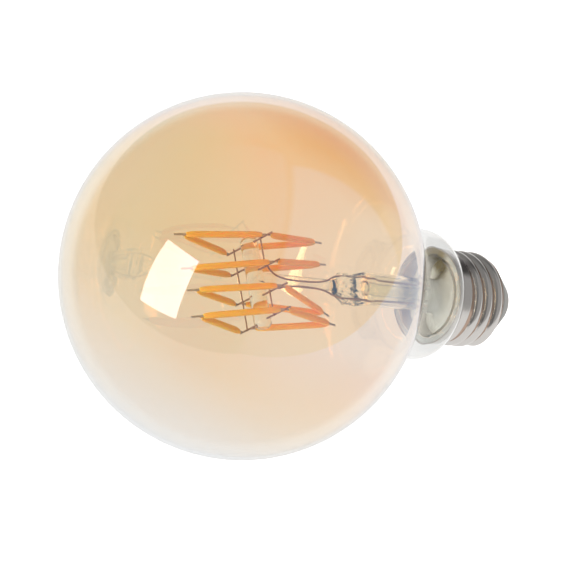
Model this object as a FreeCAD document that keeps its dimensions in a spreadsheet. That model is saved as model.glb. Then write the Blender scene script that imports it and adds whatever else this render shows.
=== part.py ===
import FreeCAD, Part
import math
import os
import Sketcher
from FreeCAD import Placement, Rotation, Vector

# Driving dimensions in millimetres. Heights run up the bulb's axis from the end of the centre
# contact, +X is sideways across the filament rows, and -Y is the near side of the cage.
SIZES = {
    # Blown glass globe with its neck and the collar that goes into the cap
    "globe_diameter": 95.0,
    "neck_fillet": 18.0,
    "neck_length": 4.65,
    "shoulder_round": 5.2,
    "shoulder_flat": 1.4,
    "glass_wall": 0.8,
    "collar_length": 5.8,
    # Screw cap
    "cap_height": 25.75,
    "thread_diameter": 26.3,
    "thread_depth": 0.95,
    "thread_pitch": 3.62,
    "thread_width": 3.0,
    "thread_start_angle": 145.0,
    "thread_sink": 0.15,
    "thread_lead_in": 0.3,
    "shell_wall": 0.5,
    "band_height": 3.9,
    "crimp": 0.9,
    "crimp_lip": 0.8,
    "cement_gap": 0.5,
    "seat_gap": 0.05,
    # End of the cap
    "contact_radius": 4.8,
    "contact_flat": 3.0,
    "contact_edge": 0.6,
    "contact_height": 1.5,
    "insulator_height": 7.7,
    "insulator_nose": 6.4,
    "insulator_flange": 1.4,
    # Glass stem, pumping tube and arbor
    "stem_diameter": 9.2,
    "stem_wall": 1.0,
    "stem_length": 21.7,
    "press_height": 11.0,
    "press_pinch": 4.5,
    "press_width": 9.4,
    "press_depth": 4.6,
    "press_shift": -0.7,
    "exhaust_diameter": 3.8,
    "exhaust_wall": 0.6,
    "exhaust_tip": 0.5,
    "arbor_diameter": 3.0,
    "arbor_length": 26.8,
    "bar_diameter": 4.6,
    "bar_round": 1.4,
    "bar_overhang": 1.6,
    # Wires of the cage
    "cross_diameter": 0.5,
    "cross_tilt": 5.0,
    "cross_grip": 0.7,
    "cross_near_overhang": 1.8,
    "cross_far_overhang": 0.8,
    "bus_diameter": 0.4,
    "bus_far_stand": 5.4,
    "bus_near_stand": 4.8,
    "bus_overhang": 0.5,
    "lead_diameter": 0.5,
    "lead_margin": 0.95,
    "lead_set_back": 0.9,
    "lead_upper_weld": 4.6,
    "lead_lower_weld": 7.0,
    "weld_gap": 0.1,
    # Support wires of the four filament rows, counted along -X
    "near_x_1": 9.3,
    "near_x_2": 1.5,
    "near_x_3": -5.5,
    "near_x_4": -11.9,
    "far_x_1": 9.4,
    "far_x_2": 3.5,
    "far_x_3": -4.7,
    "far_x_4": -12.4,
    # How far the filaments' joints on them stand out from the axis
    "near_reach_1": 7.0,
    "near_reach_2": 7.9,
    "near_reach_3": 9.1,
    "near_reach_4": 8.8,
    "far_crown_reach": 7.8,
    "far_cap_reach_1": 3.1,
    "far_cap_reach_2": 4.1,
    "far_cap_reach_3": 6.8,
    "far_cap_reach_4": 4.8,
    # Sideways places of the filament tips, where the rows lean
    "crown_x_1": 9.2,
    "crown_x_2": -0.1,
    "crown_x_3": -6.3,
    "crown_x_4": -13.4,
    "cap_x_1": 12.1,
    "cap_x_2": 5.6,
    "cap_x_3": -7.9,
    "cap_x_4": -11.1,
    # One filament: a metal carrier strip in a phosphor silicone coat
    "filament_span": 24.4,
    "coat_width": 1.6,
    "coat_depth": 1.3,
    "coat_end_depth": 0.36,
    "coat_taper": 2.6,
    "coat_round": 0.2,
    "tip_tab": 1.2,
    "joint_tab": 1.5,
    "tip_tail": 2.2,
    "tip_clearance": 0.75,
    "strip_width": 0.5,
    "strip_depth": 0.25,
    # Driver in the cap
    "board_headroom": 1.2,
    "board_gap": 0.3,
    "board_thickness": 1.0,
    "capacitor_diameter": 5.0,
    "capacitor_clearance": 1.6,
    "capacitor_stand": 6.6,
    "rectifier_length": 4.7,
    "rectifier_width": 3.9,
    "rectifier_height": 1.6,
    "rectifier_x": -7.6,
    "rectifier_y": 1.0,
    "fuse_diameter": 2.3,
    "fuse_length": 6.3,
    "fuse_stand": 6.2,
    "feed_diameter": 0.6,
    "feed_clearance": 0.3,
    "neutral_inset": 1.6,
}

# Sizes that follow from the driving ones
FORMULAS = {
    "globe_radius": "=globe_diameter / 2",
    "globe_inner": "=globe_radius - glass_wall",
    "crest_radius": "=thread_diameter / 2",
    "root_radius": "=crest_radius - thread_depth",
    "bore_radius": "=root_radius - shell_wall",
    "band_bore": "=crest_radius - shell_wall",
    "collar_outer": "=bore_radius - cement_gap",
    "collar_inner": "=collar_outer - glass_wall",
    "shoulder_x": "=collar_outer + shoulder_flat",
    "shoulder_inner": "=shoulder_round - glass_wall",
    "neck_radius": "=shoulder_x + shoulder_round",
    "neck_inner": "=neck_radius - glass_wall",
    "fillet_inner": "=neck_fillet + glass_wall",
    "shoulder_foot": "=cap_height + seat_gap",
    "shoulder_floor": "=shoulder_foot + glass_wall",
    "shoulder_z": "=shoulder_foot + shoulder_round",
    "fillet_x": "=neck_radius + neck_fillet",
    "fillet_z": "=shoulder_z + neck_length",
    "globe_drop": "=sqrt((globe_radius + neck_fillet)^2 - fillet_x^2)",
    "globe_z": "=fillet_z + globe_drop",
    "crown_z": "=globe_z + globe_radius",
    "crown_inner_z": "=globe_z + globe_inner",
    "tangent_x": "=fillet_x * globe_radius / (globe_radius + neck_fillet)",
    "tangent_z": "=globe_z - globe_drop * globe_radius / (globe_radius + neck_fillet)",
    "tangent_inner_x": "=fillet_x * globe_inner / (globe_radius + neck_fillet)",
    "tangent_inner_z": "=globe_z - globe_drop * globe_inner / (globe_radius + neck_fillet)",
    "collar_end": "=shoulder_foot - collar_length",
    "insulator_top": "=contact_height + insulator_height",
    "insulator_radius": "=bore_radius - crimp_lip",
    "flange_z": "=insulator_top - insulator_flange",
    "shell_bottom": "=insulator_top - crimp_lip",
    "crimp_radius": "=root_radius - crimp",
    "crimp_z": "=shell_bottom + crimp",
    "band_z": "=cap_height - band_height",
    "root_top": "=band_z - thread_depth",
    "bore_top": "=root_top + shell_wall / 2",
    "band_bore_z": "=bore_top + band_bore - bore_radius",
    "thread_foot": "=root_radius - thread_sink",
    "thread_rise": "=thread_depth + thread_sink",
    "thread_round": "=(thread_width^2 / 4 + thread_rise^2) / (2 * thread_rise)",
    "thread_centre_x": "=crest_radius - thread_round",
    "thread_z": "=shell_bottom + thread_lead_in",
    "thread_end": "=thread_z + thread_width",
    "thread_mid": "=thread_z + thread_width / 2",
    "thread_run": "=bore_top + thread_foot - bore_radius - thread_end",
    "contact_edge_z": "=contact_height - contact_edge",
    "feed_radius": "=feed_diameter / 2",
    "feed_hole": "=feed_radius + feed_clearance",
    "stem_radius": "=stem_diameter / 2",
    "stem_bore": "=stem_radius - stem_wall",
    "flare_round": "=collar_inner - stem_radius",
    "flare_inner": "=collar_inner - stem_bore",
    "flare_z": "=collar_end + flare_inner",
    "flare_lip": "=collar_end + stem_wall",
    "press_base": "=flare_z + stem_length",
    "press_waist": "=press_base + press_pinch",
    "press_top": "=press_base + press_height",
    "exhaust_radius": "=exhaust_diameter / 2",
    "exhaust_bore": "=exhaust_radius - exhaust_wall",
    "board_top": "=collar_end - board_headroom",
    "board_z": "=board_top - board_thickness",
    "board_radius": "=bore_radius - board_gap",
    "capacitor_height": "=board_z - insulator_top - capacitor_clearance",
    "exhaust_z": "=board_top + exhaust_tip",
    "exhaust_tip_z": "=exhaust_z + exhaust_radius",
    "exhaust_floor": "=exhaust_z + exhaust_wall",
    "lead_radius": "=lead_diameter / 2",
    "lead_stand": "=(exhaust_radius + stem_bore) / 2",
    "cage_z": "=press_top + arbor_length",
    "cross_slope": "=tan(cross_tilt)",
    "bar_radius": "=bar_diameter / 2",
    "bar_flat": "=bar_radius - bar_round",
    "bar_length": "=far_x_1 - far_x_4 + 2 * bar_overhang",
    "bar_high_round": "=bar_length - bar_round",
    "cross_root": "=bar_radius - cross_grip",
    "cross_radius": "=cross_diameter / 2",
    "bus_radius": "=bus_diameter / 2",
    "coat_half": "=coat_depth / 2",
    "coat_end_half": "=coat_end_depth / 2",
    "coat_length": "=filament_span - tip_tab - joint_tab",
    "coat_shoulder": "=coat_length - coat_taper",
    "joint_clearance": "=cross_radius + weld_gap",
}

ROWS = ("1", "2", "3", "4")
ENDS = {"crown": 1, "cap": -1}
SIDES = {"near": -1, "far": 1}

# Where the leads bend on their way from the press to their welds: the share of the climb, the
# place along X, and how far the wire stands off the arbor.
LEAD_BENDS = {
    "upper": ((0.11, 0.4, 0.4), (0.3, -0.75, 0.8), (0.6, -1.15, 1.2), (0.85, -1.0, 1.85), (0.95, 0.1, 2.4)),
    "lower": ((0.18, -2.9, 0.6), (0.34, -2.65, 1.3), (0.68, -3.4, 3.4), (0.89, -4.7, 4.7)),
}

doc = FreeCAD.newDocument("globe_bulb")
sheet = doc.addObject("Spreadsheet::Sheet", "Sizes")
for line, (alias, content) in enumerate({**SIZES, **FORMULAS}.items(), start=1):
    sheet.set("A%d" % line, alias)
    sheet.set("B%d" % line, str(content))
    sheet.setAlias("B%d" % line, alias)
doc.recompute()

nodes = []


def size(alias):
    """The number in a cell of the sheet, with a leading minus sign for its negative."""
    if alias.startswith("-"):
        return -float(sheet.get(alias[1:]))
    return float(sheet.get(alias))


def cell(alias):
    """The expression that reads a cell of the sheet."""
    if alias.startswith("-"):
        return "-Sizes." + alias[1:]
    return "Sizes." + alias


def bind(feature, **properties):
    """Tie properties of a feature to cells of the sheet."""
    for name, alias in properties.items():
        feature.setExpression(name, cell(alias))


def set_node(feature, label):
    """Name a finished sub-part, so that it is written to its own file."""
    feature.Label = label
    nodes.append(feature)
    return feature


def new_body(name):
    return doc.addObject("PartDesign::Body", name)


def origin_plane(body, role):
    return next(item for item in body.Origin.OriginFeatures if item.Role == role)


def place_corner(sketch, segment, end, aliases):
    """Fix one corner of an outline at two cells, None standing for a place on the axis."""
    kinds = ("DistanceX", "DistanceY")
    axes = (-2, -1)
    for kind, axis, alias in zip(kinds, axes, aliases):
        if alias is None:
            sketch.addConstraint(Sketcher.Constraint("PointOnObject", segment, end, axis))
            continue
        index = sketch.addConstraint(Sketcher.Constraint(kind, -1, 1, segment, end, size(alias)))
        sketch.setExpression("Constraints[%d]" % index, cell(alias))


def corner_point(aliases):
    return Vector(*[0.0 if alias is None else size(alias) for alias in aliases], 0.0)


def outline_sketch(body, name, role, corners):
    """Closed outline on an origin plane. A corner is (x, y), or (x, y, (centre x, centre y, radius))
    where an arc runs from it to the next corner."""
    sketch = body.newObject("Sketcher::SketchObject", name)
    sketch.AttachmentSupport = (origin_plane(body, role), [""])
    sketch.MapMode = "FlatFace"
    ends = []
    for index, corner in enumerate(corners):
        start = corner_point(corner[:2])
        stop = corner_point(corners[(index + 1) % len(corners)][:2])
        if len(corner) == 2:
            segment = sketch.addGeometry(Part.LineSegment(start, stop), False)
            ends.append((segment, 1, 2))
            continue
        centre = corner_point(corner[2][:2])
        angles = [math.atan2(point.y - centre.y, point.x - centre.x) for point in (start, stop)]
        turns_left = (angles[1] - angles[0]) % (2 * math.pi) <= math.pi
        first, last = angles if turns_left else reversed(angles)
        circle = Part.Circle(centre, Vector(0, 0, 1), size(corner[2][2]))
        segment = sketch.addGeometry(Part.ArcOfCircle(circle, first, last), False)
        ends.append((segment, 1, 2) if turns_left else (segment, 2, 1))
    for index, corner in enumerate(corners):
        segment, start, stop = ends[index]
        before = ends[index - 1]
        sketch.addConstraint(Sketcher.Constraint("Coincident", before[0], before[2], segment, start))
        place_corner(sketch, segment, start, corner[:2])
    for (segment, start, stop), corner in zip(ends, corners):
        if len(corner) == 3:
            radius = Sketcher.Constraint("Radius", segment, size(corner[2][2]))
            index = sketch.addConstraint(radius)
            sketch.setExpression("Constraints[%d]" % index, cell(corner[2][2]))
    return sketch


def revolved(name, corners):
    """Body turned about the bulb's axis from an outline of radius and height."""
    body = new_body(name)
    sketch = outline_sketch(body, name + "_outline", "XZ_Plane", corners)
    turn = body.newObject("PartDesign::Revolution", name + "_turn")
    turn.Profile = sketch
    turn.ReferenceAxis = (sketch, ["V_Axis"])
    turn.Angle = 360.0
    body.Tip = turn
    return body


def cylinder(name, radius, height, base, direction=Vector(0, 0, 1)):
    """Round bar from a base point, with its radius and its height bound to expressions."""
    bar = doc.addObject("Part::Cylinder", name)
    bar.setExpression("Radius", radius)
    bar.setExpression("Height", height)
    bar.Placement = Placement(base, Rotation(Vector(0, 0, 1), direction))
    return bar


def block(name, length, width, height, low_corner):
    """Box whose three sides are bound to cells of the sheet."""
    box = doc.addObject("Part::Box", name)
    bind(box, Length=length, Width=width, Height=height)
    box.Placement.Base = low_corner
    return box


def cut(name, base, tools):
    """A piece with the room that other pieces take up in it removed."""
    tool = tools[0]
    if len(tools) > 1:
        tool = doc.addObject("Part::Compound", name + "_tools")
        tool.Links = tools
    result = doc.addObject("Part::Cut", name)
    result.Base = base
    result.Tool = tool
    return result


def rounded_path(points):
    """Straight runs joined by tangent arcs that take up most of each corner's shorter run."""
    share = 0.45
    edges = []
    start = points[0]
    for before, corner, after in zip(points, points[1:], points[2:]):
        arrive = (corner - before).normalize()
        leave = (after - corner).normalize()
        reach = share * min(corner.distanceToPoint(before), corner.distanceToPoint(after))
        half_turn = arrive.getAngle(leave) / 2
        inward = (leave - arrive).normalize()
        radius = reach / math.tan(half_turn)
        middle = corner + inward * (radius / math.cos(half_turn) - radius)
        arc_start = corner - arrive * reach
        arc_end = corner + leave * reach
        edges.append(Part.LineSegment(start, arc_start).toShape())
        edges.append(Part.Arc(arc_start, middle, arc_end).toShape())
        start = arc_end
    edges.append(Part.LineSegment(start, points[-1]).toShape())
    return Part.Wire(edges)


def bent_wire(name, points, radius):
    """Round wire that follows a bent path in space."""
    section = Part.Wire(Part.makeCircle(radius, points[0], points[1] - points[0]))
    wire = doc.addObject("Part::Feature", name)
    wire.Shape = rounded_path(points).makePipeShell([section], True, False)
    wire.Placement = Placement()
    return wire


def make_globe():
    """Blown globe, neck, rounded shoulder and the collar that the cap is cemented to."""
    outside = ("shoulder_x", "shoulder_z", "shoulder_round")
    inside = ("shoulder_x", "shoulder_z", "shoulder_inner")
    corners = [
        (None, "crown_z", (None, "globe_z", "globe_radius")),
        ("tangent_x", "tangent_z", ("fillet_x", "fillet_z", "neck_fillet")),
        ("neck_radius", "fillet_z"),
        ("neck_radius", "shoulder_z", outside),
        ("shoulder_x", "shoulder_foot"),
        ("collar_outer", "shoulder_foot"),
        ("collar_outer", "collar_end"),
        ("collar_inner", "collar_end"),
        ("collar_inner", "shoulder_floor"),
        ("shoulder_x", "shoulder_floor", inside),
        ("neck_inner", "shoulder_z"),
        ("neck_inner", "fillet_z", ("fillet_x", "fillet_z", "fillet_inner")),
        ("tangent_inner_x", "tangent_inner_z", (None, "globe_z", "globe_inner")),
        (None, "crown_inner_z"),
    ]
    set_node(revolved("globe", corners), "glass_globe")


def make_cap():
    """Threaded shell with its crimped end, insulator, centre contact and cement."""
    shell = revolved("shell", [
        ("insulator_radius", "shell_bottom"),
        ("crimp_radius", "shell_bottom"),
        ("root_radius", "crimp_z"),
        ("root_radius", "root_top"),
        ("crest_radius", "band_z"),
        ("crest_radius", "cap_height"),
        ("band_bore", "cap_height"),
        ("band_bore", "band_bore_z"),
        ("bore_radius", "bore_top"),
        ("bore_radius", "insulator_top"),
        ("insulator_radius", "insulator_top"),
    ])
    ridge_centre = ("thread_centre_x", "thread_mid", "thread_round")
    ridge = outline_sketch(shell, "thread_outline", "XZ_Plane", [
        ("thread_foot", "thread_z", ridge_centre),
        ("thread_foot", "thread_end"),
    ])
    thread = shell.newObject("PartDesign::AdditiveHelix", "thread")
    thread.Profile = ridge
    thread.ReferenceAxis = (ridge, ["V_Axis"])
    thread.Mode = "pitch-height-angle"
    thread.LeftHanded = False
    bind(thread, Pitch="thread_pitch", Height="thread_run")
    shell.Tip = thread
    shell.setExpression("Placement.Rotation.Angle", cell("thread_start_angle"))
    set_node(shell, "screw_shell")
    set_node(revolved("insulator", [
        ("feed_hole", "contact_height"),
        ("insulator_nose", "contact_height"),
        ("insulator_radius", "flange_z"),
        ("insulator_radius", "insulator_top"),
        ("feed_hole", "insulator_top"),
    ]), "cap_insulator")
    set_node(revolved("contact", [
        (None, None),
        ("contact_flat", None),
        ("contact_radius", "contact_edge_z"),
        ("contact_radius", "contact_height"),
        (None, "contact_height"),
    ]), "centre_contact")
    set_node(revolved("cement", [
        ("collar_outer", "collar_end"),
        ("bore_radius", "collar_end"),
        ("bore_radius", "bore_top"),
        ("band_bore", "band_bore_z"),
        ("band_bore", "cap_height"),
        ("collar_outer", "cap_height"),
    ]), "basing_cement")


def make_driver():
    """Round board under the flare, with its components below it and the wires that feed it."""
    under = size("board_z")
    board = cylinder("board", cell("board_radius"), cell("board_thickness"), Vector(0, 0, under))
    set_node(board, "driver_board")
    capacitor = cylinder("capacitor", cell("capacitor_diameter") + " / 2", cell("capacitor_height"),
                         Vector(0, size("capacitor_stand"), under - size("capacitor_height")))
    set_node(capacitor, "smoothing_capacitor")
    low_corner = Vector(size("rectifier_x") - size("rectifier_length") / 2,
                        size("rectifier_y") - size("rectifier_width") / 2, under - size("rectifier_height"))
    rectifier = block("rectifier", "rectifier_length", "rectifier_width", "rectifier_height", low_corner)
    set_node(rectifier, "bridge_rectifier")
    fuse_base = Vector(-size("fuse_length") / 2, -size("fuse_stand"), under - size("fuse_diameter") / 2)
    fuse = cylinder("fuse", cell("fuse_diameter") + " / 2", cell("fuse_length"), fuse_base, Vector(1, 0, 0))
    set_node(fuse, "fuse_resistor")
    live = cylinder("live", cell("feed_radius"), "Sizes.board_z - Sizes.contact_height",
                    Vector(0, 0, size("contact_height")))
    set_node(live, "live_wire")
    neutral_length = "Sizes.neutral_inset + Sizes.board_gap - Sizes.seat_gap"
    neutral_base = Vector(size("board_radius") - size("neutral_inset"), 0, under - size("feed_radius"))
    neutral = cylinder("neutral", cell("feed_radius"), neutral_length, neutral_base, Vector(1, 0, 0))
    set_node(neutral, "neutral_wire")


def wire_level(y):
    """Height of the support wires at a place along Y, as they climb towards the far side."""
    return size("cage_z") + y * size("cross_slope")


def make_leads():
    """The two lead wires, from the board up through the press to the near support wires."""
    press_low = size("press_base") + size("lead_diameter")
    press_top = size("press_top")
    clear_of_arbor = size("arbor_diameter") / 2 + size("lead_radius")
    half_press = size("press_width") / 2 - size("lead_margin")
    routes = (("upper", 1, "near_x_2", "lead_upper_weld"), ("lower", -1, "near_x_3", "lead_lower_weld"))
    leads = []
    for name, side, row, weld in routes:
        weld_y = -size(weld)
        weld_z = wire_level(weld_y) - size("cross_radius") - size("lead_radius")
        stand = side * size("lead_stand")
        exit_x = size("press_shift") + side * half_press
        points = [
            Vector(stand, 0, size("board_top")),
            Vector(stand, 0, press_low),
            Vector(exit_x, -size("lead_set_back"), press_top),
        ]
        for share, bend_x, stand_off in LEAD_BENDS[name]:
            bend_z = press_top + share * (weld_z - press_top)
            points.append(Vector(bend_x, -clear_of_arbor - stand_off, bend_z))
        points.append(Vector(size(row), weld_y, weld_z))
        wire = bent_wire("lead_%s_wire" % name, points, size("lead_radius"))
        leads.append(set_node(wire, "lead_" + name))
    return leads


def make_stem(leads):
    """Flared stem tube with its press, the pumping tube, and the leads' channels through the press."""
    flare = ("collar_inner", "flare_z")
    tube = revolved("stem_tube", [
        ("collar_inner", "flare_lip", flare + ("flare_round",)),
        ("stem_radius", "flare_z"),
        ("stem_radius", "press_base"),
        ("stem_bore", "press_base"),
        ("stem_bore", "flare_z", flare + ("flare_inner",)),
        ("collar_inner", "collar_end"),
    ])
    # The softened end of the tube is pinched flat round the leads.
    rings = []
    sections = (
        ("press_base", "stem_diameter", "stem_diameter", False),
        ("press_waist", "press_width", "press_depth", True),
        ("press_top", "press_width", "press_depth", True),
    )
    for height, width, depth, shifted in sections:
        ring = doc.addObject("Part::Ellipse", height + "_ring")
        ring.setExpression("MajorRadius", cell(width) + " / 2")
        ring.setExpression("MinorRadius", cell(depth) + " / 2")
        ring.setExpression("Placement.Base.z", cell(height))
        if shifted:
            ring.setExpression("Placement.Base.x", cell("press_shift"))
        rings.append(ring)
    press = doc.addObject("Part::Loft", "press")
    press.Sections = rings
    press.Solid = True
    press.Ruled = True
    glass = doc.addObject("Part::Fuse", "stem_glass")
    glass.Base = tube
    glass.Tool = press
    set_node(cut("stem", glass, leads), "stem_flare")
    set_node(revolved("exhaust", [
        (None, "exhaust_z", (None, "exhaust_tip_z", "exhaust_radius")),
        ("exhaust_radius", "exhaust_tip_z"),
        ("exhaust_radius", "press_base"),
        ("exhaust_bore", "press_base"),
        ("exhaust_bore", "exhaust_tip_z", (None, "exhaust_tip_z", "exhaust_bore")),
        (None, "exhaust_floor"),
    ]), "exhaust_tube")


def make_cross_wires():
    """Short support wires out of the glass bar, one near and one far in each row."""
    wires = []
    for side, sign in SIDES.items():
        root_y = sign * size("cross_root")
        outward = Vector(0, sign, sign * size("cross_slope"))
        for row in ROWS:
            reach = "near_reach_" + row if side == "near" else "far_crown_reach"
            run = "Sizes.%s + Sizes.cross_%s_overhang - Sizes.cross_root" % (reach, side)
            base = Vector(size("%s_x_%s" % (side, row)), root_y, wire_level(root_y))
            wire = cylinder("cross_%s_wire_%s" % (side, row), cell("cross_radius"),
                            "(%s) / cos(Sizes.cross_tilt)" % run, base, outward)
            wires.append(set_node(wire, "cross_%s_%s" % (side, row)))
    return wires


def make_buses():
    """Wires that lie across the support wires, on their crown side, and join them."""
    runs = (
        ("bus_far", "far_x_1", "far_x_4", "bus_far_stand"),
        ("bus_near_upper", "near_x_1", "near_x_2", "-bus_near_stand"),
        ("bus_near_lower", "near_x_3", "near_x_4", "-bus_near_stand"),
    )
    lift = (size("cross_radius") + size("bus_radius")) / math.cos(math.atan(size("cross_slope")))
    for label, first, last, stand in runs:
        length = "Sizes.%s - Sizes.%s + 2 * Sizes.bus_overhang" % (first, last)
        bus_y = size(stand)
        base = Vector(size(last) - size("bus_overhang"), bus_y, wire_level(bus_y) + lift)
        wire = cylinder(label + "_wire", cell("bus_radius"), length, base, Vector(1, 0, 0))
        set_node(wire, label)


def make_arbor(gripped):
    """Glass rod on the press, with the glass bar across its head that the support wires are set in."""
    rod = cylinder("arbor_rod", cell("arbor_diameter") + " / 2", cell("arbor_length"),
                   Vector(0, 0, size("press_top")))
    bar = revolved("bar", [
        (None, None),
        ("bar_flat", None, ("bar_flat", "bar_round", "bar_round")),
        ("bar_radius", "bar_round"),
        ("bar_radius", "bar_high_round", ("bar_flat", "bar_high_round", "bar_round")),
        ("bar_flat", "bar_length"),
        (None, "bar_length"),
    ])
    bar.Placement = Placement(Vector(size("far_x_4") - size("bar_overhang"), 0, size("cage_z")),
                              Rotation(Vector(0, 0, 1), Vector(1, 0, 0)))
    glass = doc.addObject("Part::Fuse", "arbor_glass")
    glass.Base = rod
    glass.Tool = bar
    set_node(cut("arbor_cut", glass, gripped), "arbor")


def joint_point(side, end, row):
    """Where a filament meets its support wire."""
    reach = {
        ("far", "crown"): "far_crown_reach",
        ("far", "cap"): "far_cap_reach_" + row,
    }.get((side, end), "near_reach_" + row)
    joint_y = SIDES[side] * size(reach)
    return Vector(size("%s_x_%s" % (side, row)), joint_y, wire_level(joint_y))


def tip_point(end, row):
    """Where the near and the far filament of a row meet, at the same span from both joints."""
    near = joint_point("near", end, row)
    far = joint_point("far", end, row)
    middle = (near + far) / 2
    spread = (far - near).normalize()
    across = (Vector(1, 0, 0) - spread * spread.x).normalize()
    shift = (size("%s_x_%s" % (end, row)) - middle.x) / across.x
    rise = math.sqrt(size("filament_span") ** 2 - near.distanceToPoint(middle) ** 2 - shift ** 2)
    return middle + across * shift + across.cross(spread) * ENDS[end] * rise


def make_coat(name):
    """Phosphor silicone coat along +Z, thinner at its ends, before the strip's room is cut."""
    body = new_body(name)
    sketch = outline_sketch(body, name + "_outline", "YZ_Plane", [
        ("coat_end_half", None),
        ("coat_half", "coat_taper"),
        ("coat_half", "coat_shoulder"),
        ("coat_end_half", "coat_length"),
        ("-coat_end_half", "coat_length"),
        ("-coat_half", "coat_shoulder"),
        ("-coat_half", "coat_taper"),
        ("-coat_end_half", None),
    ])
    pad = body.newObject("PartDesign::Pad", name + "_pad")
    pad.Profile = sketch
    pad.Midplane = True
    bind(pad, Length="coat_width")
    body.Tip = pad
    doc.recompute()
    side = size("coat_width") / 2
    rims = []
    for index, edge in enumerate(pad.Shape.Edges, start=1):
        if all(math.isclose(abs(vertex.X), side, abs_tol=1e-6) for vertex in edge.Vertexes):
            if math.isclose(edge.Vertexes[0].X, edge.Vertexes[1].X, abs_tol=1e-6):
                rims.append("Edge%d" % index)
    soft = body.newObject("PartDesign::Fillet", name + "_round")
    soft.Base = (pad, rims)
    bind(soft, Radius="coat_round")
    body.Tip = soft
    return body


def make_filament(end, side, row):
    """One filament from its tip at the crown or cap end to its joint on a near or far support wire."""
    name = "%s_%s_%s" % (side, end, row)
    tip = tip_point(end, row)
    along = (joint_point(side, end, row) - tip).normalize()
    across = (Vector(1, 0, 0) - along * along.x).normalize()
    turn = Rotation(across, along.cross(across), along, "ZXY")
    # Each near strip runs on past the tip as a bare tail, and the far strip is welded to its side.
    lead_in = "tip_tail" if side == "near" else "-tip_clearance"
    strip = doc.addObject("Part::Box", "strip_box_" + name)
    bind(strip, Length="strip_width", Width="strip_depth")
    strip.setExpression("Height", "Sizes.filament_span + %s - Sizes.joint_clearance" % cell(lead_in))
    corner = Vector(-size("strip_width") / 2, -size("strip_depth") / 2, -size(lead_in))
    strip.Placement = Placement(tip + turn.multVec(corner), turn)
    set_node(strip, "strip_" + name)
    coat = make_coat("coat_" + name)
    coat.Placement = Placement(tip + along * size("tip_tab"), turn)
    set_node(cut("coat_cut_" + name, coat, [strip]), "phosphor_" + name)


def check_document():
    """Stop with a plain message if any feature failed or any sub-part isn't a valid solid."""
    for feature in doc.Objects:
        if "Invalid" in feature.State or "Error" in feature.State:
            raise RuntimeError("%s failed: %s" % (feature.Label, feature.State))
    for feature in nodes:
        shape = feature.Shape
        if shape.isNull() or not shape.isValid() or len(shape.Solids) != 1:
            raise RuntimeError("%s isn't one valid solid" % feature.Label)


make_globe()
make_cap()
make_driver()
lead_wires = make_leads()
make_stem(lead_wires)
cross_wires = make_cross_wires()
make_buses()
make_arbor(cross_wires)
for end_name in ENDS:
    for side_name in SIDES:
        for row_number in ROWS:
            make_filament(end_name, side_name, row_number)
doc.recompute()
check_document()

os.makedirs("parts", exist_ok=True)
for node in nodes:
    node.Shape.exportStep("parts/%s.step" % node.Label)
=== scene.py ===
"""The looks of a clear amber globe bulb: glass, screw cap, filament cage and a plain studio."""

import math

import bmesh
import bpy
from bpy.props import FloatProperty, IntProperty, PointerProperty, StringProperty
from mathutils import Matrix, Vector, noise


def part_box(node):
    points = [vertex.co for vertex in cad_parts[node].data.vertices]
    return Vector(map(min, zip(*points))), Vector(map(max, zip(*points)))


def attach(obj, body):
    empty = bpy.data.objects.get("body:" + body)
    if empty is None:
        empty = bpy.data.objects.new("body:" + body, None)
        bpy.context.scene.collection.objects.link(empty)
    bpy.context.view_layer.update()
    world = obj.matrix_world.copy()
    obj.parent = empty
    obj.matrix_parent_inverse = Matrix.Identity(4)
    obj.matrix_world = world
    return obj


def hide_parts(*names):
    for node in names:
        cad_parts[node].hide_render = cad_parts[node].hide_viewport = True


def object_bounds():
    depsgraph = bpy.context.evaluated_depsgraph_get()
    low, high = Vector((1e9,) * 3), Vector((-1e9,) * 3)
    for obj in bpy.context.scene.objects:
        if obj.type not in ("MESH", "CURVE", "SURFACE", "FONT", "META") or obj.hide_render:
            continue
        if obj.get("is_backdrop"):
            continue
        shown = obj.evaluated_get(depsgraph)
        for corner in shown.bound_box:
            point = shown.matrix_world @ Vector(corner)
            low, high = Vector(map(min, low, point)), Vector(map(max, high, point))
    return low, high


bl_info = {
    "name": "Amber Globe Bulb",
    "version": (1, 0, 0),
    "blender": (4, 5, 0),
    "location": "View3D > Sidebar > Bulb",
    "description": "Builds the glass, cap, filament cage and studio of a globe bulb round its frame",
    "category": "Object",
}

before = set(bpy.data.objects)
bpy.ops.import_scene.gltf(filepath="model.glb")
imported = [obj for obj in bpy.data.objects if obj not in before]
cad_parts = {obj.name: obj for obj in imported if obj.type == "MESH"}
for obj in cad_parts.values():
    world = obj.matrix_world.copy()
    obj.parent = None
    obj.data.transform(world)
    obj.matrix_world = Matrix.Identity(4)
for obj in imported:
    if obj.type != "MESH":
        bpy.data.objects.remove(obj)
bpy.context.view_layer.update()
MM = 0.001
GLASS_INDEX = 1.5
# No end face of a bar in the cage is as wide as this, and no bar is as short
END_FACE = 2 * MM
ROWS = (1, 2, 3, 4)
ENDS = ("crown", "cap")
SIDES = ("near", "far")
PHOTO_PIXELS = 570
# Points round the rolled shell, with the seam counted twice, and up its height
SHELL_COLUMNS = 181
SHELL_ROWS = 150
# The side towards which the globe's lustre tint is full, fading out away from it, and the direction in which
# the lustre ran together
TINT_SIDE = Vector((0.829, -0.312, -0.463))
SPRAY_RUN = Vector((0.556, -0.704, -0.444))
# Size of the lustre's clouds, and how far its run and the greyer crown reach in full and at their edges
CLOUD_SIZE = 45 * MM
RUN_REACH = (12 * MM, 38 * MM)
CROWN_REACH = (4 * MM, 26 * MM)
# How glancing a view is where the lustre starts to lose its colour, and where it has lost it
GLANCING = (0.58, 0.68)
# Olive flux: size of its mottling, how far that frays its edge, and how fast a smear narrows
FLUX_GRAIN = 3 * MM
FLUX_FRAY = 4 * MM
FLUX_TAPER = 1.2
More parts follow.
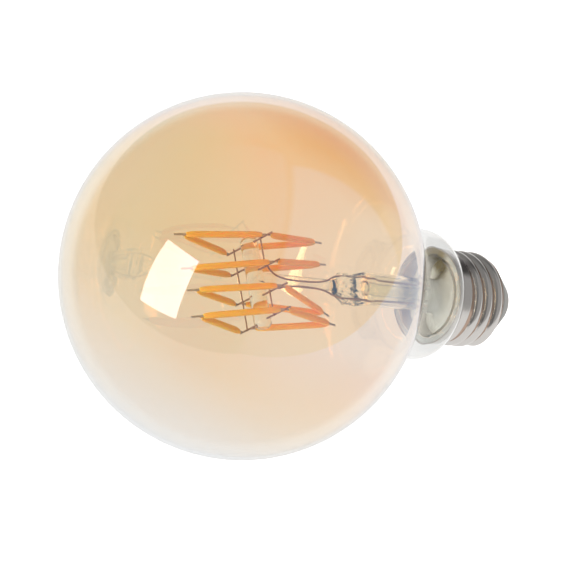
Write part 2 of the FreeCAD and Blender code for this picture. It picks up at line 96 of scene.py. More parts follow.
# Index of the stem and the rods, matched to how softly they bend what lies behind them, the size of the
# ripples in their skin, and their gleam
DRAWN_INDEX = 1.25
DRAWN_RIPPLE = 3 * MM
DRAWN_GLEAM = {"Coat Weight": 1.0, "Coat IOR": 1.7, "Coat Roughness": 0.02}
# How much of the light still goes straight through the milky seal
SEAL_CLEARNESS = 0.25
# How close to the thread's root the darker, warmer groove tint is full and partial, and the same for the
# painted dark reflection round its middle, with how far that is frayed
GROOVE_REACH = (0.015 * MM, 0.07 * MM)
PAINTED_DARK_REACH = (3 * MM, 6.5 * MM)
PAINTED_DARK_FRAY = 4 * MM
# A ring narrower than this is one point, and points of a seam closer than this are one
NO_WIDTH = 1e-7
SEAM_GAP = 0.01 * MM


def length(name, description, millimetres):
    """A size in the panel, whose default is written in millimetres."""
    return FloatProperty(name=name, description=description, default=millimetres * MM, precision=5,
                         unit="LENGTH")


def turn(name, description, degrees):
    """An angle in the panel, whose default is written in degrees."""
    return FloatProperty(name=name, description=description, default=math.radians(degrees),
                         subtype="ANGLE")


def colour(name, description, code):
    """A colour in the panel, as an sRGB hex code."""
    return StringProperty(name=name, description=description, default=code)


class BulbGlass(bpy.types.PropertyGroup):
    """Sizes of the blown globe, the stem and the arbor."""

    wall: length("Wall", "Thickness of the blown glass", 0.8)
    neck_wall: length("Neck wall", "Thickness of the glass where it is drawn out at the neck", 0.4)
    neck_radius: length("Neck radius", "Outside radius of the neck", 17.8)
    neck_fillet: length("Neck fillet", "Radius of the sweep from globe to neck", 18.0)
    fillet_height: length("Fillet height", "Where the sweep meets the neck", 35.65)
    shoulder_round: length("Shoulder round", "Radius of the shoulder under the neck", 5.2)
    shoulder_foot: length("Shoulder foot", "Underside of the shoulder, on the cap", 25.8)
    collar_radius: length("Collar radius", "Outside radius of the collar in the cap", 11.2)
    stem_radius: length("Stem radius", "Outside radius of the stem tube", 4.6)
    stem_wall: length("Stem wall", "Thickness of the stem tube", 1.0)
    flare_height: length("Flare height", "Where the flare becomes the tube", 26.8)
    seal_top: length("Seal top", "Height below which the stem's seal turns milky", 33)
    seal_full: length("Seal full", "Height below which the seal is as milky as it gets", 27)
    press_base: length("Press base", "Where the tube starts to be pinched", 48.5)
    press_pinch: length("Press pinch", "Height over which the tube is pinched flat", 4.4)
    press_width: length("Press width", "Wide side of the pinched press", 9.4)
    press_depth: length("Press depth", "Narrow side of the pinched press", 4.6)
    press_shift: length("Press shift", "How far the press leans to one side", -0.7)
    press_round: length("Press round", "Height over which the press is rounded off", 2.4)
    press_crown: FloatProperty(
        name="Press crown", description="Share by which the press narrows at its top", default=0.4)
    press_dents: length("Press dents", "Depth of the marks that the pinching jaws leave", 1.3)
    seal_wrinkles: length("Seal wrinkles", "Height of the folds in the melted seal of the flare", 0.7)
    fold_size: length("Fold size", "Size of the folds in melted glass", 1.8)
    exhaust_radius: length("Pumping tube radius", "Outside radius of the pumping tube", 1.9)
    exhaust_wall: length("Pumping tube wall", "Thickness of the pumping tube", 0.6)
    arbor_radius: length("Arbor radius", "Radius of the glass rod", 1.5)
    arbor_spread: length("Arbor spread", "Round where the rod is melted on at its ends", 0.9)
    bar_radius: length("Bar radius", "Radius of the glass bar that the support wires are set in", 2.3)
    bar_round: length("Bar round", "Radius of the bar's ends", 1.4)
    film: FloatProperty(
        name="Lustre film", description="Thickness of the lustre, in nanometres", default=150.0)
    film_index: FloatProperty(
        name="Lustre index", description="Refractive index of the lustre", default=2.2)
    crown_index: FloatProperty(
        name="Crown index", description="Refractive index of the lustre at the crown", default=1.65)
    # The lustre's tint fades out away from its full side: where it has faded out, and from where on it is
    # full
    tint_fade_low: length("Spray low", "Where the spray ends, away from its side", -45)
    tint_fade_full: length("Spray full", "From where on towards its side the spray is full", -12)
    spray_stop: length("Spray stop", "Height at which the spray ends towards the neck", 38)
    spray_start: length("Spray start", "Height from which the spray is full", 70)
    steps: IntProperty(name="Steps", description="Faces round the globe", default=160, min=24)


class BulbCap(bpy.types.PropertyGroup):
    """Sizes of the screw cap."""

    crest_radius: length("Crest radius", "Outside radius of the thread", 13.15)
    root_radius: length("Root radius", "Radius between the crests", 12.2)
    pitch: length("Pitch", "Rise of the thread in one turn", 3.62)
    crest_round: length("Crest round", "Radius of the rolled crest", 1.573)
    thread_start: length("Thread start", "Height of the first crest where it begins", 10.2)
    thread_turns: FloatProperty(name="Turns", description="Turns of the thread", default=2.707)
    run_out: FloatProperty(
        name="Run out", description="Share of a turn in which the thread fades", default=0.1)
    start_angle: turn("Start angle", "Where round the cap the thread begins", 145)
    band_height: length("Band height", "Where the plain band begins", 21.85)
    crimp: length("Crimp", "How far the end is crimped in", 0.9)
    shell_wall: length("Shell wall", "Thickness of the rolled shell", 0.45)
    insulator_nose: length("Insulator nose", "Radius of the insulator at its end", 6.4)
    insulator_flange: length("Insulator flange", "Height of the insulator's straight rim", 1.4)
    insulator_edge: length("Insulator edge", "Radius of the insulator's edges", 0.6)
    contact_flat: length("Contact flat", "Radius of the flat end of the contact", 3.0)
    contact_edge: length("Contact edge", "Height of the contact's straight rim", 0.6)
    contact_round: length("Contact round", "Radius of the contact's upper edge", 0.7)
    feed_hole: length("Feed hole", "Radius of the hole for the live wire", 0.6)
    cement_lumps: length("Cement lumps", "How uneven the cement is", 0.5)
    cement_wetting: length("Cement wetting", "How far the cement reaches into the collar's skin", 0.15)
    cement_grain: length("Cement grain", "Size of the cement's lumps", 2.2)
    # The dark patch that these place is painted dark reflection: the top of the band mirrors the dim room
    # above
    painted_dark_across: length("Rub across", "Sideways place of the dark rub mark", 4.5)
    painted_dark_near: length("Rub near", "How far the rub mark stands to the near side", 12.3)
    painted_dark_height: length("Rub height", "Height of the rub mark", 22.3)


class BulbCage(bpy.types.PropertyGroup):
    """Sizes of the filament cage."""

    coat_width: length("Coat width", "Wide side of a filament's coat", 1.6)
    coat_depth: length("Coat depth", "Narrow side of a filament's coat", 1.3)
    coat_taper: length("Coat taper", "How far the coat thins towards its ends", 2.6)
    lead_radius: length("Lead radius", "Radius of the lead wires", 0.25)


class BulbFinish(bpy.types.PropertyGroup):
    """Colours of the materials, as sRGB hex codes."""

    amber: colour("Amber", "Tint of the sprayed glass", "#F9E6CD")
    amber_deep: colour("Deep amber", "Tint where the lustre clouds", "#F6DEB8")
    amber_run: colour("Run amber", "Tint where the spray ran together", "#F2C789")
    amber_crown: colour("Crown amber", "Tint at the crown, where the glass is greyer", "#F1E5CC")
    rim_glass: colour("Rim glass", "Tint of the glass at a glancing view", "#FFFDFA")
    # The tint where the lustre has faded out, at the neck and on the side away from its full side
    bare_glass: colour("Bare glass", "Tint of the glass that the spray left bare", "#F2F2F1")
    stem_glass: colour("Stem glass", "Tint of the stem and the arbor", "#F8FAF6")
    seal: colour("Seal", "Milky glass where the flare is melted to the neck", "#E3E8E8")
    nickel: colour("Nickel", "Plated shell", "#CFCBC7")
    # A darker, warmer tint along the bottom of the grooves
    copper: colour("Copper", "Bare metal in the grooves of the shell", "#B39C8C")
    # Painted dark reflection on the top of the shell's band
    painted_dark_tint: colour("Burnish", "Dark rub mark on the shell's band", "#7A7472")
    wire: colour("Wire", "Support wires and leads", "#B89A84")
    strip: colour("Strip", "Carrier strips", "#CBBDB0")
    phosphor: colour("Phosphor", "Silicone coat of the filaments", "#FFC75A")
    insulator: colour("Insulator", "Insulator at the end of the cap", "#8F8E8A")
    contact: colour("Contact", "Tinned centre contact", "#C9C6C0")
    cement: colour("Cement", "Basing cement", "#B8C1C8")
    # Painted light: a paler colour for the cement's inner face, lifting the shade that falls there
    cement_face_painted_light: colour("Cement face", "Cement against the glass, bleached by its heat", "#ECEAE6")
    flux: colour("Flux", "Olive flux on the board, the seal and the cement", "#766A2C")
    board: colour("Board", "Solder mask of the driver board", "#DCE5EE")
    can: colour("Can", "Aluminium can of the capacitor", "#B9BDC2")
    epoxy: colour("Epoxy", "Moulded package of the rectifier", "#26262A")
    lacquer: colour("Lacquer", "Lacquer of the fuse resistor", "#7C9A8C")
    feed: colour("Feed wire", "Copper feed wires", "#C98A5C")
    floor: colour("Floor", "Paper under the bulb", "#F4F3F1")


class BulbView(bpy.types.PropertyGroup):
    """How the camera stands to the bulb."""

    distance: length("Distance", "From the camera to the middle of the globe", 760)
    axis_angle: turn("Axis angle", "Between the line of sight and the bulb's axis", 51)
    axis_tilt: turn("Axis tilt", "How far the axis falls to the right in the picture", 5.84)
    cage_turn: turn("Cage turn", "How far the filament rows are turned about the axis", 20.7)
    globe_across: FloatProperty(
        name="Globe across", description="Middle of the globe, in pixels from the left", default=242.26)
    globe_down: FloatProperty(
        name="Globe down", description="Middle of the globe, in pixels from the top", default=276.23)
    globe_pixels: FloatProperty(
        name="Globe radius", description="Radius of the globe, in pixels", default=184.43)


GROUPS = {
    "bulb_glass": BulbGlass,
    "bulb_cap": BulbCap,
    "bulb_cage": BulbCage,
    "bulb_finish": BulbFinish,
    "bulb_view": BulbView,
}


def group(name):
    return getattr(bpy.context.scene, "bulb_" + name)


# Nodes and materials

def linear(code):
    """Linear RGBA of an sRGB hex code."""
    values = [int(code[index:index + 2], 16) / 255 for index in (1, 3, 5)]
    return tuple(v / 12.92 if v <= 0.04045 else ((v + 0.055) / 1.055) ** 2.4 for v in values) + (1.0,)


def node(tree, kind, links=None, **settings):
    """Add a node with its settings. A link gives an input a value, an output or a node's first output."""
    made = tree.nodes.new(kind)
    for name, value in settings.items():
        setattr(made, name, value)
    for name, value in (links or {}).items():
        if isinstance(value, bpy.types.Node):
            value = next(output for output in value.outputs if output.enabled)
        if isinstance(value, bpy.types.NodeSocket):
            tree.links.new(value, made.inputs[name])
        else:
            made.inputs[name].default_value = value
    return made


def new_material(name):
    """Empty material with its tree and the place on the piece, which every pattern is laid out in."""
    material = bpy.data.materials.new(name)
    material.use_nodes = True
    tree = material.node_tree
    tree.nodes.clear()
    return material, tree, node(tree, "ShaderNodeTexCoord").outputs["Object"]


def finish_material(material, shader):
    node(material.node_tree, "ShaderNodeOutputMaterial", {"Surface": shader})
    return material


def let_light_in(tree, glass, tint):
    """Glass that lets the lamps through to what is behind it, tinted."""
    path = node(tree, "ShaderNodeLightPath")
    clear = node(tree, "ShaderNodeBsdfTransparent", {"Color": tint})
    return node(tree, "ShaderNodeMixShader", {0: path.outputs["Is Shadow Ray"], 1: glass, 2: clear})


def flux_smear(tree, place, line, start, full):
    """Share of olive flux, which runs in a ragged wedge from the rim inwards along a line."""
    mottle = node(tree, "ShaderNodeTexNoise", {"Vector": place, "Scale": 1 / FLUX_GRAIN, "Detail": 4.0})
    axes = node(tree, "ShaderNodeSeparateXYZ", {"Vector": place})
    off_line = node(tree, "ShaderNodeMath", {0: axes.outputs["Y"], 1: line}, operation="SUBTRACT")
    beside = node(tree, "ShaderNodeMath", {0: off_line}, operation="ABSOLUTE")
    wedge = node(tree, "ShaderNodeMath", {
        0: beside, 1: -FLUX_TAPER, 2: axes.outputs["X"]}, operation="MULTIPLY_ADD")
    ragged = node(tree, "ShaderNodeMath", {0: mottle, 1: FLUX_FRAY, 2: wedge}, operation="MULTIPLY_ADD")
    return node(tree, "ShaderNodeMapRange", {"Value": ragged, "From Min": start, "From Max": full})


def amber_lustre_glass():
    # Blown soda-lime glass under a fired lustre, a film far thinner than a hair: it mirrors blue and lets
    # amber through, so the globe is warm to look into and cool where it gleams. The lustre's tint fades out
    # towards one side, the one that faces the table and the camera, and stops short of the neck.
    glass = group("glass")
    finish = group("finish")
    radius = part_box("glass_globe")[1].x
    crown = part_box("glass_globe")[1].z
    middle = (0.0, 0.0, crown - radius)
    material, tree, place = new_material("amber_lustre_glass")
    height = node(tree, "ShaderNodeSeparateXYZ", {"Vector": place}).outputs["Z"]
    out = node(tree, "ShaderNodeVectorMath", {0: place, 1: middle}, operation="SUBTRACT")
    # The tint is full towards one side and fades out towards the other, which faces the table and the camera
    side = node(tree, "ShaderNodeVectorMath", {0: out, 1: TINT_SIDE}, operation="DOT_PRODUCT")
    side_tint = node(tree, "ShaderNodeMapRange", {
        "Value": side, "From Min": glass.tint_fade_low, "From Max": glass.tint_fade_full})
    above_neck = node(tree, "ShaderNodeMapRange", {
        "Value": height, "From Min": glass.spray_stop, "From Max": glass.spray_start},
        interpolation_type="SMOOTHSTEP")
    lustre = node(tree, "ShaderNodeMath", {0: side_tint, 1: above_neck}, operation="MULTIPLY")
    cloud = node(tree, "ShaderNodeTexNoise", {"Vector": place, "Scale": 1 / CLOUD_SIZE, "Detail": 2.0})
    depth = node(tree, "ShaderNodeMix", {
        "Factor": cloud, "A": linear(finish.amber), "B": linear(finish.amber_deep)}, data_type="RGBA")
    from_run = node(tree, "ShaderNodeVectorMath", {0: out, 1: SPRAY_RUN * radius}, operation="DISTANCE")
    run = node(tree, "ShaderNodeMapRange", {
        "Value": from_run, "From Min": RUN_REACH[1], "From Max": RUN_REACH[0]})
    deepened = node(tree, "ShaderNodeMix", {
        "Factor": run, "A": depth, "B": linear(finish.amber_run)}, data_type="RGBA")
    near_crown = node(tree, "ShaderNodeMapRange", {
        "Value": height, "From Min": crown - CROWN_REACH[1], "From Max": crown - CROWN_REACH[0]})
    amber = node(tree, "ShaderNodeMix", {
        "Factor": near_crown, "A": deepened, "B": linear(finish.amber_crown)}, data_type="RGBA")
    body = node(tree, "ShaderNodeMix", {
        "Factor": lustre, "A": linear(finish.bare_glass), "B": amber}, data_type="RGBA")
    # A film this thin loses its colour at a glancing view
    glance = node(tree, "ShaderNodeLayerWeight", {"Blend": 0.5}).outputs["Facing"]
    glancing = node(tree, "ShaderNodeMapRange", {
        "Value": glance, "From Min": GLANCING[0], "From Max": GLANCING[1], "To Max": side_tint})
    tint = node(tree, "ShaderNodeMix", {
        "Factor": glancing, "A": body, "B": linear(finish.rim_glass)}, data_type="RGBA")
    reach = node(tree, "ShaderNodeVectorMath", {0: out}, operation="LENGTH")
    outside = node(tree, "ShaderNodeMath", {
        0: reach, 1: radius - glass.wall / 2}, operation="GREATER_THAN")
    coated = node(tree, "ShaderNodeMath", {0: lustre, 1: outside}, operation="MULTIPLY")
    thinned = node(tree, "ShaderNodeMapRange", {
        "Value": near_crown, "To Min": glass.film_index, "To Max": glass.crown_index})
    film = node(tree, "ShaderNodeMapRange", {
        "Value": coated, "To Min": GLASS_INDEX, "To Max": thinned})
    shader = node(tree, "ShaderNodeBsdfPrincipled", {
        "Base Color": tint, "Roughness": 0.0, "IOR": GLASS_INDEX, "Transmission Weight": 1.0,
        "Thin Film Thickness": glass.film, "Thin Film IOR": film})
    return finish_material(material, let_light_in(tree, shader, tint.outputs["Result"]))


def clear_stem_glass():
    # Drawn lead glass, fire polished and faintly streaked along the draw: clear to see through, with bright
    # gleams, and milky with olive flux where the flare is melted to the neck
    glass = group("glass")
    finish = group("finish")
    material, tree, place = new_material("clear_stem_glass")
    height = node(tree, "ShaderNodeSeparateXYZ", {"Vector": place}).outputs["Z"]
    milk = node(tree, "ShaderNodeMapRange", {
        "Value": height, "From Min": glass.seal_top, "From Max": glass.seal_full})
    clearness = node(tree, "ShaderNodeMapRange", {
        "Value": milk, "To Min": 1.0, "To Max": SEAL_CLEARNESS})
    smear = flux_smear(tree, place, -2.5 * MM, 3 * MM, 7 * MM)
    seal = node(tree, "ShaderNodeMix", {
        "Factor": smear, "A": linear(finish.seal), "B": linear(finish.flux)}, data_type="RGBA")
    tint = node(tree, "ShaderNodeMix", {
        "Factor": milk, "A": linear(finish.stem_glass), "B": seal}, data_type="RGBA")
    streaks = node(tree, "ShaderNodeMapping", {"Vector": place, "Scale": (1.0, 1.0, 0.12)})
    ripple = node(tree, "ShaderNodeTexNoise", {"Vector": streaks, "Scale": 1 / DRAWN_RIPPLE})
    bump = node(tree, "ShaderNodeBump", {"Height": ripple, "Strength": 0.25, "Distance": 0.3 * MM})
    shader = node(tree, "ShaderNodeBsdfPrincipled", {
        "Base Color": tint, "Roughness": 0.0, "IOR": DRAWN_INDEX, "Transmission Weight": clearness,
        "Normal": bump, **DRAWN_GLEAM})
    return finish_material(material, let_light_in(tree, shader, linear(finish.stem_glass)))


def clear_cane_glass():
    # Drawn glass cane, fire polished: clear to see through, with bright gleams along it
    finish = group("finish")
    material, tree, place = new_material("clear_cane_glass")
    ripple = node(tree, "ShaderNodeTexNoise", {"Vector": place, "Scale": 1 / DRAWN_RIPPLE})
    bump = node(tree, "ShaderNodeBump", {"Height": ripple, "Strength": 0.25, "Distance": 0.3 * MM})
    shader = node(tree, "ShaderNodeBsdfPrincipled", {
        "Base Color": linear(finish.stem_glass), "Roughness": 0.0, "IOR": DRAWN_INDEX,
        "Transmission Weight": 1.0, "Normal": bump, **DRAWN_GLEAM})
    return finish_material(material, let_light_in(tree, shader, linear(finish.stem_glass)))


def nickel_plated_brass():
    # Rolled brass shell under a thin satin nickel plate: soft grey, faintly lined round the turns by the
    # rolling, and tinted darker and warmer along the bottom of the grooves. A dark patch on the plain band
    # is painted dark reflection of the dim room above it.
    finish = group("finish")
    cap = group("cap")
    material, tree, place = new_material("nickel_plated_brass")
    flat = node(tree, "ShaderNodeVectorMath", {0: place, 1: (1.0, 1.0, 0.0)}, operation="MULTIPLY")
    radius = node(tree, "ShaderNodeVectorMath", {0: flat}, operation="LENGTH")
    off_root = node(tree, "ShaderNodeMath", {0: radius, 1: cap.root_radius}, operation="SUBTRACT")
    spread = node(tree, "ShaderNodeMath", {0: off_root}, operation="ABSOLUTE")
    # Darker and warmer towards the bottom of the grooves
    groove = node(tree, "ShaderNodeMapRange", {
        "Value": spread, "From Min": GROOVE_REACH[1], "From Max": GROOVE_REACH[0]})
    rings = node(tree, "ShaderNodeMapping", {"Vector": place, "Scale": (0.15, 0.15, 1.0)})
    brushing = node(tree, "ShaderNodeTexNoise", {"Vector": rings, "Scale": 1 / (0.4 * MM), "Detail": 3.0})
    handling = node(tree, "ShaderNodeTexNoise", {"Vector": place, "Scale": 1 / (4 * MM), "Detail": 4.0})
    gloss = node(tree, "ShaderNodeMapRange", {
        "Value": handling, "From Min": 0.3, "From Max": 0.7, "To Min": 0.14, "To Max": 0.26})
    plate = node(tree, "ShaderNodeMix", {
        "Factor": groove, "A": linear(finish.nickel), "B": linear(finish.copper)}, data_type="RGBA")
    # A ragged dark patch on the top of the band: painted dark reflection of the dim room above it
    painted_dark_middle = Vector((cap.painted_dark_across, -cap.painted_dark_near, cap.painted_dark_height))
    away = node(tree, "ShaderNodeVectorMath", {0: place, 1: painted_dark_middle}, operation="DISTANCE")
    ragged = node(tree, "ShaderNodeMath", {0: handling, 1: PAINTED_DARK_FRAY, 2: away}, operation="MULTIPLY_ADD")
    painted_dark = node(tree, "ShaderNodeMapRange", {
        "Value": ragged, "From Min": PAINTED_DARK_REACH[1], "From Max": PAINTED_DARK_REACH[0]})
    plate_with_painted_dark = node(tree, "ShaderNodeMix", {
        "Factor": painted_dark, "A": plate, "B": linear(finish.painted_dark_tint)}, data_type="RGBA")
    bump = node(tree, "ShaderNodeBump", {"Height": brushing, "Strength": 0.2, "Distance": 0.05 * MM})
    shader = node(tree, "ShaderNodeBsdfPrincipled", {
        "Base Color": plate_with_painted_dark, "Metallic": 1.0, "Roughness": gloss, "Normal": bump})
    return finish_material(material, shader)


def soldered_board():
    # Glass-epoxy board under a pale solder mask, with a smear of olive flux that narrows inwards
    finish = group("finish")
    material, tree, place = new_material("soldered_board")
    mottle = node(tree, "ShaderNodeTexNoise", {"Vector": place, "Scale": 1 / FLUX_GRAIN, "Detail": 4.0})
    smear = flux_smear(tree, place, -0.5 * MM, 4 * MM, 9 * MM)
    paint = node(tree, "ShaderNodeMix", {
        "Factor": smear, "A": linear(finish.board), "B": linear(finish.flux)}, data_type="RGBA")
    bump = node(tree, "ShaderNodeBump", {"Height": mottle, "Strength": 0.4, "Distance": 0.4 * MM})
    shader = node(tree, "ShaderNodeBsdfPrincipled", {"Base Color": paint, "Roughness": 0.4, "Normal": bump})
    return finish_material(material, shader)


def baked_cement():
    # Basing cement, cast and baked: grey and chalky with a crumbly skin, and olive with flux on one side.
    # Its inner face against the collar is painted paler, painted light that lifts the shade inside the cap.
    finish = group("finish")
    collar = group("glass").collar_radius
    material, tree, place = new_material("baked_cement")
    crumbs = node(tree, "ShaderNodeTexNoise", {"Vector": place, "Scale": 1 / (1.2 * MM), "Detail": 4.0})
    flat = node(tree, "ShaderNodeVectorMath", {0: place, 1: (1.0, 1.0, 0.0)}, operation="MULTIPLY")
    radius = node(tree, "ShaderNodeVectorMath", {0: flat}, operation="LENGTH")
    # The inner face, in shade inside the cap, is painted paler: painted light
    inside = node(tree, "ShaderNodeMapRange", {
        "Value": radius, "From Min": collar + 0.2 * MM, "From Max": collar})
    chalk_with_painted_light = node(tree, "ShaderNodeMix", {
        "Factor": inside, "A": linear(finish.cement), "B": linear(finish.cement_face_painted_light)}, data_type="RGBA")
    smear = flux_smear(tree, place, -5 * MM, 3 * MM, 8 * MM)
    paint = node(tree, "ShaderNodeMix", {
        "Factor": smear, "A": chalk_with_painted_light, "B": linear(finish.flux)}, data_type="RGBA")
    bump = node(tree, "ShaderNodeBump", {"Height": crumbs, "Strength": 0.5, "Distance": 0.3 * MM})
    shader = node(tree, "ShaderNodeBsdfPrincipled", {"Base Color": paint, "Roughness": 0.8, "Normal": bump})
    return finish_material(material, shader)


def worn_metal(name, code, roughness, grain):
    """Drawn or rolled metal whose sheen varies over a grain of the given size in millimetres."""
    material, tree, place = new_material(name)
    patches = node(tree, "ShaderNodeTexNoise", {"Vector": place, "Scale": 1 / (grain * MM), "Detail": 3.0})
    sheen = node(tree, "ShaderNodeMapRange", {
        "Value": patches, "From Min": 0.3, "From Max": 0.7,
        "To Min": roughness * 0.7, "To Max": roughness * 1.3})
    dull = tuple(0.7 * value for value in linear(code)[:3]) + (1.0,)
    mix = node(tree, "ShaderNodeMix", {"Factor": patches, "A": linear(code), "B": dull}, data_type="RGBA")
    shader = node(tree, "ShaderNodeBsdfPrincipled", {
        "Base Color": mix, "Metallic": 1.0, "Roughness": sheen})
    return finish_material(material, shader)


def matt_coat(name, code, shade, roughness, grain):
    """Moulded, cast or coated surface: two shades of one colour over a grain in millimetres."""
    material, tree, place = new_material(name)
    mottle = node(tree, "ShaderNodeTexNoise", {"Vector": place, "Scale": 1 / (grain * MM), "Detail": 4.0})
    dark = tuple(shade * value for value in linear(code)[:3]) + (1.0,)
    mix = node(tree, "ShaderNodeMix", {"Factor": mottle, "A": linear(code), "B": dark}, data_type="RGBA")
    bump = node(tree, "ShaderNodeBump", {"Height": mottle, "Strength": 0.3, "Distance": 0.1 * grain * MM})
    shader = node(tree, "ShaderNodeBsdfPrincipled", {
        "Base Color": mix, "Roughness": roughness, "Normal": bump})
    return finish_material(material, shader)


def phosphor_silicone():
    # Cast silicone filled with phosphor powder: strong orange, soft light inside it, faint chip marks
    finish = group("finish")
    material, tree, place = new_material("phosphor_silicone")
    chips = node(tree, "ShaderNodeTexNoise", {"Vector": place, "Scale": 1 / (1.1 * MM), "Detail": 2.0})
    warm = tuple(value * share for value, share in zip(linear(finish.phosphor), (1.0, 0.88, 0.75))) + (1.0,)
    mix = node(tree, "ShaderNodeMix", {
        "Factor": chips, "A": linear(finish.phosphor), "B": warm}, data_type="RGBA")
    shader = node(tree, "ShaderNodeBsdfPrincipled", {
        "Base Color": mix, "Roughness": 0.45, "IOR": 1.41,
        "Subsurface Weight": 0.8, "Subsurface Radius": (1.0, 0.5, 0.2), "Subsurface Scale": 1.2 * MM})
    return finish_material(material, shader)


# Meshes

def arc(centre, radius, first, last, steps, end_radius=None):
    """Points (radius, height) along an arc between two angles in degrees; it may widen."""
    points = []
    widening = (end_radius or radius) - radius
    for step in range(steps + 1):
        share = step / steps
        angle = math.radians(first + (last - first) * share)
        reach = radius + widening * share
        points.append((centre[0] + reach * math.cos(angle), centre[1] + reach * math.sin(angle)))
    return points


def ring(width, depth, height, steps, across=0.0, back=0.0):
    """Points of a level ellipse, or one point where it has no width."""
    if width < NO_WIDTH:
        return [Vector((across, back, height))]
    angles = [2 * math.pi * step / steps for step in range(steps)]
    return [Vector((across + width * math.cos(a), back + depth * math.sin(a), height)) for a in angles]


def smooth_share(start, stop, value):
    """How far a value has come from start to stop, from 0 to 1 with soft ends."""
    share = min(max((value - start) / (stop - start), 0.0), 1.0)
    return share * share * (3 - 2 * share)


def skin(name, rings, material, closed=False, sharp=40):
    """Piece whose surface joins each ring to the next, and the last to the first where it is closed."""
    points = [tuple(point) for loop in rings for point in loop]
    starts = [sum(len(loop) for loop in rings[:index]) for index in range(len(rings))]
    faces = []
    for index in range(len(rings) if closed else len(rings) - 1):
        after = (index + 1) % len(rings)
        low, high = len(rings[index]), len(rings[after])
        for step in range(max(low, high)):
            corners = [starts[index] + step % low, starts[index] + (step + 1) % low,
                       starts[after] + (step + 1) % high, starts[after] + step % high]
            faces.append(tuple(dict.fromkeys(corners)))
    mesh = bpy.data.meshes.new(name)
    mesh.from_pydata(points, [], faces)
    smooth_mesh(mesh, sharp)
    mesh.materials.append(material)
    piece = bpy.data.objects.new(name, mesh)
    bpy.context.collection.objects.link(piece)
    return piece


def smooth_mesh(mesh, sharp):
    """Turn the faces outwards and shade them smooth, with edges over an angle in degrees left sharp."""
    work = bmesh.new()
    work.from_mesh(mesh)
    bmesh.ops.recalc_face_normals(work, faces=work.faces)
    work.to_mesh(mesh)
    work.free()
    mesh.polygons.foreach_set("use_smooth", [True] * len(mesh.polygons))
    mesh.set_sharp_from_angle(angle=math.radians(sharp))


def lathe(name, outline, material, steps=96, closed=False, sharp=40):
    """Piece turned about the bulb's axis from points of radius and height."""
    return skin(name, [ring(radius, radius, height, steps) for radius, height in outline], material,
                closed, sharp)


def keep(piece, slot, *nodes):
    """Let a finished piece ride with the bulb in place of its frame nodes."""
    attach(piece, "root")
    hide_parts(*nodes)


def melt(piece, other, sharp=40):
    """Join another piece into one that it overlaps, as glass is melted together."""
    union = piece.modifiers.new("melt", "BOOLEAN")
    union.operation = "UNION"
    union.solver = "EXACT"
    union.object = other
    graph = bpy.context.evaluated_depsgraph_get()
    mesh = bpy.data.meshes.new_from_object(piece.evaluated_get(graph), depsgraph=graph)
    piece.modifiers.remove(union)
    piece.data = mesh
    bpy.data.objects.remove(other)
    smooth_mesh(mesh, sharp)


def dress(material, *names):
    """Give frame nodes a material, with their shape left alone."""
    for name in names:
        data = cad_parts[name].data
        data.materials.clear()
        data.materials.append(material)


def new_tree(name, inputs):
    """Empty geometry tree with a geometry input and output and the named inputs."""
    tree = bpy.data.node_groups.new(name, "GeometryNodeTree")
    tree.interface.new_socket("Geometry", in_out="INPUT", socket_type="NodeSocketGeometry")
    for label, kind in inputs.items():
        tree.interface.new_socket(label, in_out="INPUT", socket_type=kind)
    tree.interface.new_socket("Geometry", in_out="OUTPUT", socket_type="NodeSocketGeometry")
    return tree, node(tree, "NodeGroupInput").outputs


def end_tree(tree, geometry, material):
    """Close a tree with real geometry that has its material."""
    real = node(tree, "GeometryNodeRealizeInstances", {"Geometry": geometry})
    smooth = node(tree, "GeometryNodeSetShadeSmooth", {"Geometry": real})
    finish = node(tree, "GeometryNodeSetMaterial", {"Geometry": smooth, "Material": material})
    node(tree, "NodeGroupOutput", {"Geometry": finish})
    return tree


def grow(name, source, tree, values, sharp=40):
    """Run a geometry tree on a source object and keep the result as a plain mesh piece."""
    modifier = source.modifiers.new("growth", "NODES")
    modifier.node_group = tree
    for item in tree.interface.items_tree:
        if item.in_out == "INPUT" and item.name in values:
            modifier[item.identifier] = values[item.name]
    source.update_tag()
    graph = bpy.context.evaluated_depsgraph_get()
    mesh = bpy.data.meshes.new_from_object(source.evaluated_get(graph), depsgraph=graph)
    mesh.name = name
    source.modifiers.remove(modifier)
    bpy.data.objects.remove(source)
    mesh.set_sharp_from_angle(angle=math.radians(sharp))
    piece = bpy.data.objects.new(name, mesh)
    bpy.context.collection.objects.link(piece)
    return piece


def drawn_wire_tree():
    """Round wire along every spline of a curve."""
    tree, given = new_tree("drawn_wire", {
        "Radius": "NodeSocketFloat", "Sides": "NodeSocketInt", "Material": "NodeSocketMaterial"})
    section = node(tree, "GeometryNodeCurvePrimitiveCircle", {
        "Resolution": given["Sides"], "Radius": given["Radius"]})
    sweep = node(tree, "GeometryNodeCurveToMesh", {
        "Curve": given["Geometry"], "Profile Curve": section, "Fill Caps": True})
    return end_tree(tree, sweep, given["Material"])


